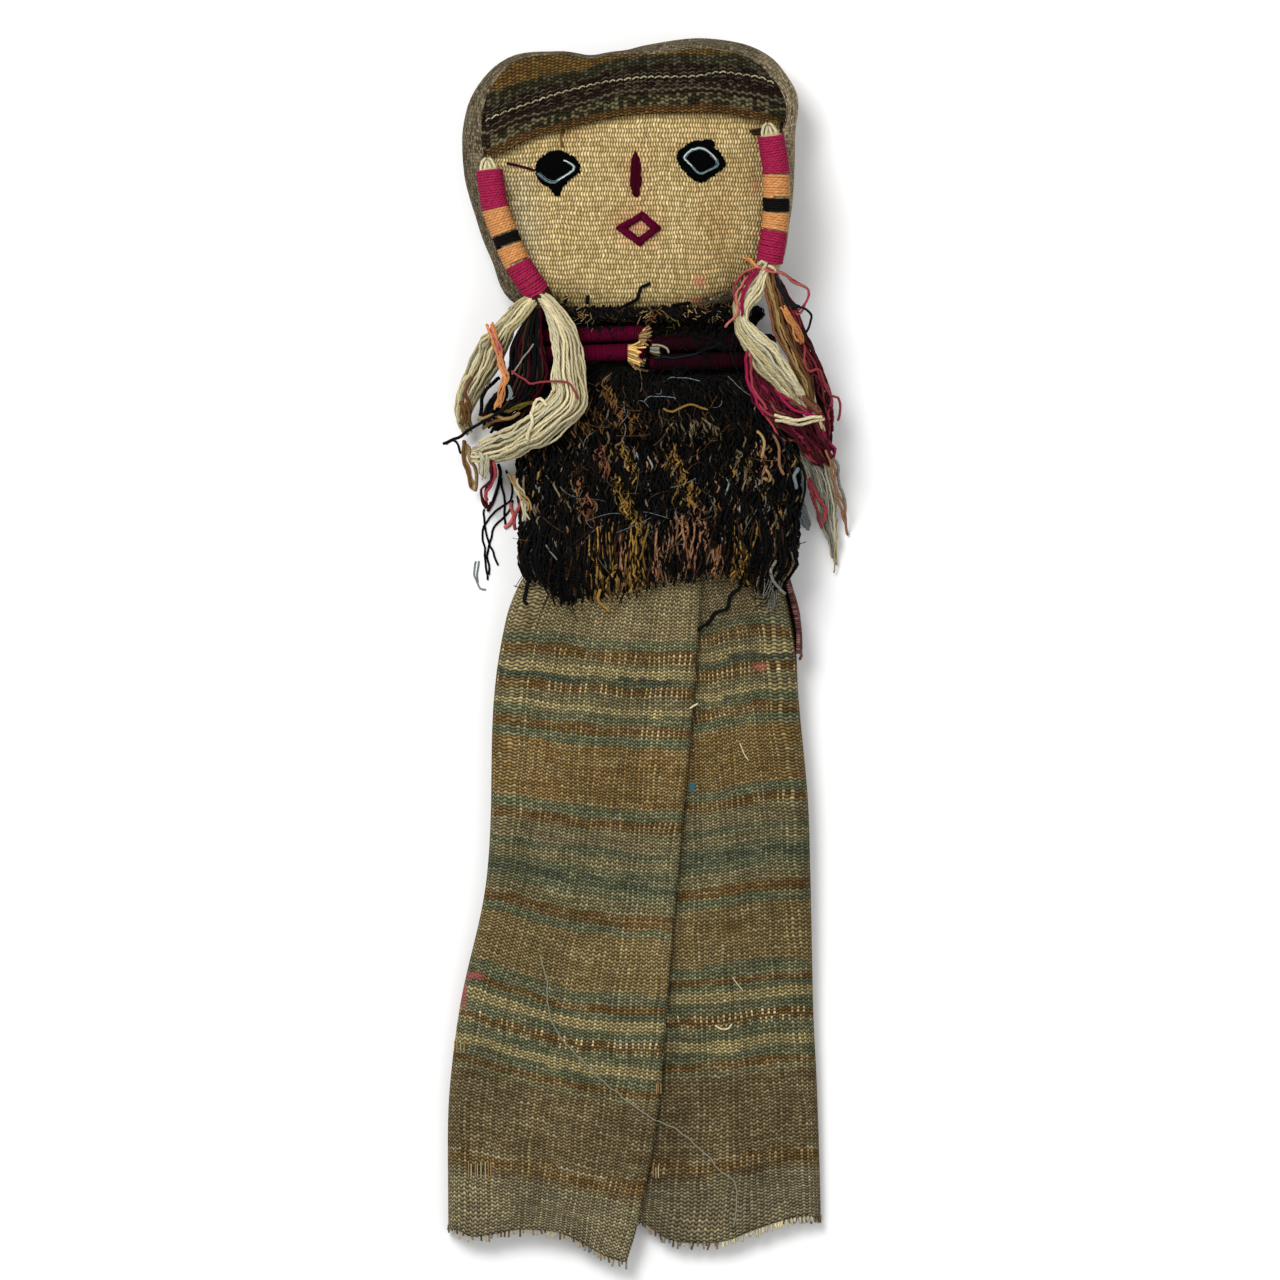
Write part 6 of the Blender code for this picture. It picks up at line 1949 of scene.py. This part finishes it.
def make_skirt(material):
    """The striped cloth wrapped round the trunk, its left panel over its right one."""
    columns = []
    for stretch, count in enumerate(SKIRT_COLUMNS):
        columns += [(stretch, k / count) for k in range(count)]
    columns.append((4, 1.0))
    last = len(columns) - 1
    spots = {}
    for row in range(SKIRT_ROWS + 1):
        for column in range(last + 1):
            spots[column, row] = skirt_spot(column, row, columns)
    middle = SKIRT_ROWS * 3 // 4
    across = [0.0]
    for column in range(1, last + 1):
        step = spots[column, middle][0] - spots[column - 1, middle][0]
        across.append(across[-1] + math.hypot(step.x, step.z))

    def place(column, row):
        return spots[column, row][0] * MM

    def spread(column, row):
        return across[column] * MM, (spots[column, row][1] - SKIRT_HEM) * MM

    mesh = cloth_grid("skirt", last, SKIRT_ROWS, place, spread)
    piece = add_piece("skirt_cloth", mesh, material, "skirt_cloth", "skirt")
    thicken(piece, SKIRT_CLOTH, -1.0)
    hem = [spots[column, SKIRT_ROWS][0] * MM for column in range(last + 1)]
    edges = [[spots[0, row][0] * MM for row in range(SKIRT_ROWS + 1)]]
    return piece, hem, edges, columns


# Warps left bare near the hem: pixel rows and columns between which they show, how many
BARE_WARPS = (((466, 1163), (493, 1179), 8), ((652, 1168), (660, 1178), 3), ((452, 1040), (466, 1052), 4),
              ((655, 1083), (662, 1095), 3))


# Loose threads on the skirt: route in photograph pixels, radius in millimetres, dye
SKIRT_THREADS = (
    (((540, 956), (547, 980), (548, 1010), (558, 1034), (579, 1058), (603, 1082), (627, 1101),
      (654, 1120), (673, 1128), (694, 1144), (711, 1160), (721, 1172), (735, 1183), (737, 1206),
      (733, 1227)), 0.2, "dust"),
    (((744, 568), (740, 578), (740, 587), (734, 592), (729, 597), (728, 603), (727, 608),
      (719, 611), (713, 614), (711, 620), (708, 624), (703, 627), (698, 630)), 0.46, "black"),
    (((716, 1026), (722, 1030), (729, 1029), (731, 1025)), 0.28, "cream"),
    (((739, 743), (743, 752), (748, 761)), 0.16, "cream"),
    (((733, 977), (738, 985), (743, 992)), 0.16, "cream"),
    (((690, 708), (693, 706), (697, 704)), 0.26, "cream"),
    (((650, 588), (640, 592), (630, 602)), 0.13, "cream"),
    (((652, 582), (645, 586), (636, 590), (622, 594)), 0.12, "cream"),
    (((800, 650), (803, 656), (801, 660)), 0.3, "pink brown"),
)


def make_skirt_threads(material, skirt, hem, columns, rng):
    """The loose threads on the skirt and the cut warp ends along its hem."""
    surfaces = surface_of(skirt)
    strands = laid_strands(SKIRT_THREADS, surfaces, rng, 0.35 * MM)
    for start, end, count in BARE_WARPS:
        for k in range(count):
            px = start[0] + (end[0] - start[0]) * (k + 0.3 + 0.4 * rng.random()) / count
            route = ((px, start[1] + rng.uniform(-2, 2)), (px, end[1] + rng.uniform(-2, 2)))
            strands.append(laid_yarn(route, surfaces, 0.16 * MM, pick(rng, (("tan", 2), ("straw", 1))), rng))
    add_piece("skirt_threads", yarn_mesh("skirt_threads", strands), material, "cream_yarn")
    ends = []
    distance = 0.0
    for k in range(1, len(hem)):
        step = hem[k] - hem[k - 1]
        stretch = columns[k][0]
        distance += step.length
        while distance > 0.0:
            root = hem[k] - step.normalized() * distance - Vector((0, 0, 0.5 * MM))
            pale = stretch == 4 and root.x > 20.0 * MM
            length = rng.uniform(1.2, 2.2) if pale else rng.uniform(0.5, 1.9)
            dye = pick(rng, (("cream", 3), ("grey cream", 1)) if pale
                       else (("straw", 3), ("brown", 3), ("tan", 2), ("grey", 2)))
            start = root + Vector((0, 0.6 * MM, 0))
            way = Vector((rng.uniform(-0.25, 0.25), -1.0, 0.0)).normalized()
            strand = tuft(start, way, (length + 0.6) * MM, (0.36 if pale else 0.26) * MM,
                          shade(dye, rng), rng, steps=3, bend=0.08)
            for point in strand[0]:
                point.z = max(point.z, 0.3 * MM)
            ends.append(strand)
            distance -= rng.uniform(0.85, 1.3) * MM
    add_piece("skirt_hem_ends", yarn_mesh("skirt_hem_ends", ends), material, "cream_yarn")


def make_strip(material):
    """The dark strip that hangs at the right side."""
    columns = 16
    rows = 50

    def place(column, row):
        down = row / rows
        y = STRIP_TOP + (STRIP_END - STRIP_TOP) * down
        fold = smooth_value(SKIRT_FOLD_RADIUS, y)
        lift = smooth_value(SKIRT_LIFT, y)
        centre_x = smooth_value(SKIRT_RIGHT, y) - fold
        wave = 0.3 * noise.noise(Vector((column * 0.3, row * 0.12, 2.0)))
        radius = fold + STRIP_CLEARANCE + STRIP_FLARE * math.sin(math.pi * down) + max(wave, 0.0)
        angle = STRIP_LOW_ANGLE + (STRIP_HIGH_ANGLE - STRIP_LOW_ANGLE) * column / columns
        turn = math.radians(angle)
        return Vector((centre_x + radius * math.cos(turn), y, lift + fold + radius * math.sin(turn))) * MM

    def spread(column, row):
        return column * 0.65 * MM, row * 0.47 * MM

    mesh = cloth_grid("strip", columns, rows, place, spread)
    piece = add_piece("side_strip_cloth", mesh, material, "dark_cloth", "side_strip")
    thicken(piece, STRIP_CLOTH, 1.0)
    return piece


def make_stage():
    """A pale floor, soft studio light and the camera straight above."""
    shape = bmesh.new()
    bmesh.ops.create_grid(shape, x_segments=1, y_segments=1, size=3.0)
    floor = bpy.data.objects.new("floor", finish_mesh(shape, "floor"))
    bpy.context.scene.collection.objects.link(floor)
    paper = bpy.data.materials.new("pale paper")
    paper.use_nodes = True
    paper.node_tree.nodes["Principled BSDF"].inputs["Base Color"].default_value = (0.9, 0.9, 0.9, 1)
    paper.node_tree.nodes["Principled BSDF"].inputs["Roughness"].default_value = 0.9
    floor.data.materials.append(paper)
    scene = bpy.context.scene
    world = bpy.data.worlds.new("studio")
    world.use_nodes = True
    sky = world.node_tree.nodes["Background"]
    sky.inputs["Color"].default_value = (1.0, 1.0, 1.0, 1.0)
    sky.inputs["Strength"].default_value = 0.45
    scene.world = world
    scene.view_settings.view_transform = "Standard"
    for name, place, size, power in (("key", (-0.45, 0.65, 1.15), 0.6, 16.7),
                                     ("fill", (0.5, -0.3, 1.2), 0.9, 4.0)):
        lamp = bpy.data.lights.new(name, "AREA")
        lamp.shape = "SQUARE"
        lamp.size = size
        lamp.energy = power
        holder = bpy.data.objects.new(name, lamp)
        holder.location = place
        holder.rotation_euler = Vector(place).to_track_quat("Z", "Y").to_euler()
        scene.collection.objects.link(holder)
    view = bpy.data.cameras.new("from above")
    view.sensor_width = 36.0
    height = 6.0
    plane = 0.016
    view.lens = view.sensor_width * (height - plane) / (2.0 * PHOTO_MIDDLE * PIXEL)
    camera = bpy.data.objects.new("from above", view)
    camera.location = (*photo(PHOTO_MIDDLE, PHOTO_MIDDLE), height)
    scene.collection.objects.link(camera)
    scene.camera = camera


def main():
    rng = random.Random(7)
    yarn = yarn_material("spun yarn")
    binding = yarn_material("tight yarn", pitch=2.4, roughness=0.85, gloss=0.04, fibres=(-0.1, 1.9))
    pile = yarn_material("dark pile", pitch=3.0, roughness=0.9, gloss=0.04, speckle=True)
    hood_cloth = plain_cloth_material("brown hood cloth", (0.085, 0.064, 0.036), (0.20, 0.162, 0.10), 0.9, 0.55)
    shawl_cloth = plain_cloth_material("dark shawl ground", (0.006, 0.005, 0.004), (0.014, 0.010, 0.007), 1.2, 0.8)
    strip_cloth = plain_cloth_material("dark strip cloth", (0.03, 0.012, 0.012), (0.075, 0.035, 0.03), 0.9, 0.6)
    make_stage()
    body = make_body(face_material())
    face = surface_of(body)
    hood = make_hood(hood_cloth)
    band = make_band(band_material())
    wraps = make_wraps("left", binding, rng) + make_wraps("right", binding, rng)
    make_features(binding, face, rng)
    make_head_threads(binding, surface_of(body, hood, band), rng)
    shawl = make_shawl(shawl_cloth)
    piles = make_pile(pile, rng)
    cords = make_neck_cords(binding, rng)
    skirt, hem, edges, columns = make_skirt(skirt_material())
    strip = make_strip(strip_cloth)
    under = surface_of(body, hood, band, shawl, skirt, *wraps, *piles, *cords)
    make_tassels(yarn, under, rng)
    make_shawl_trims(yarn, under, rng)
    make_skirt_threads(yarn, skirt, hem, columns, rng)


main()
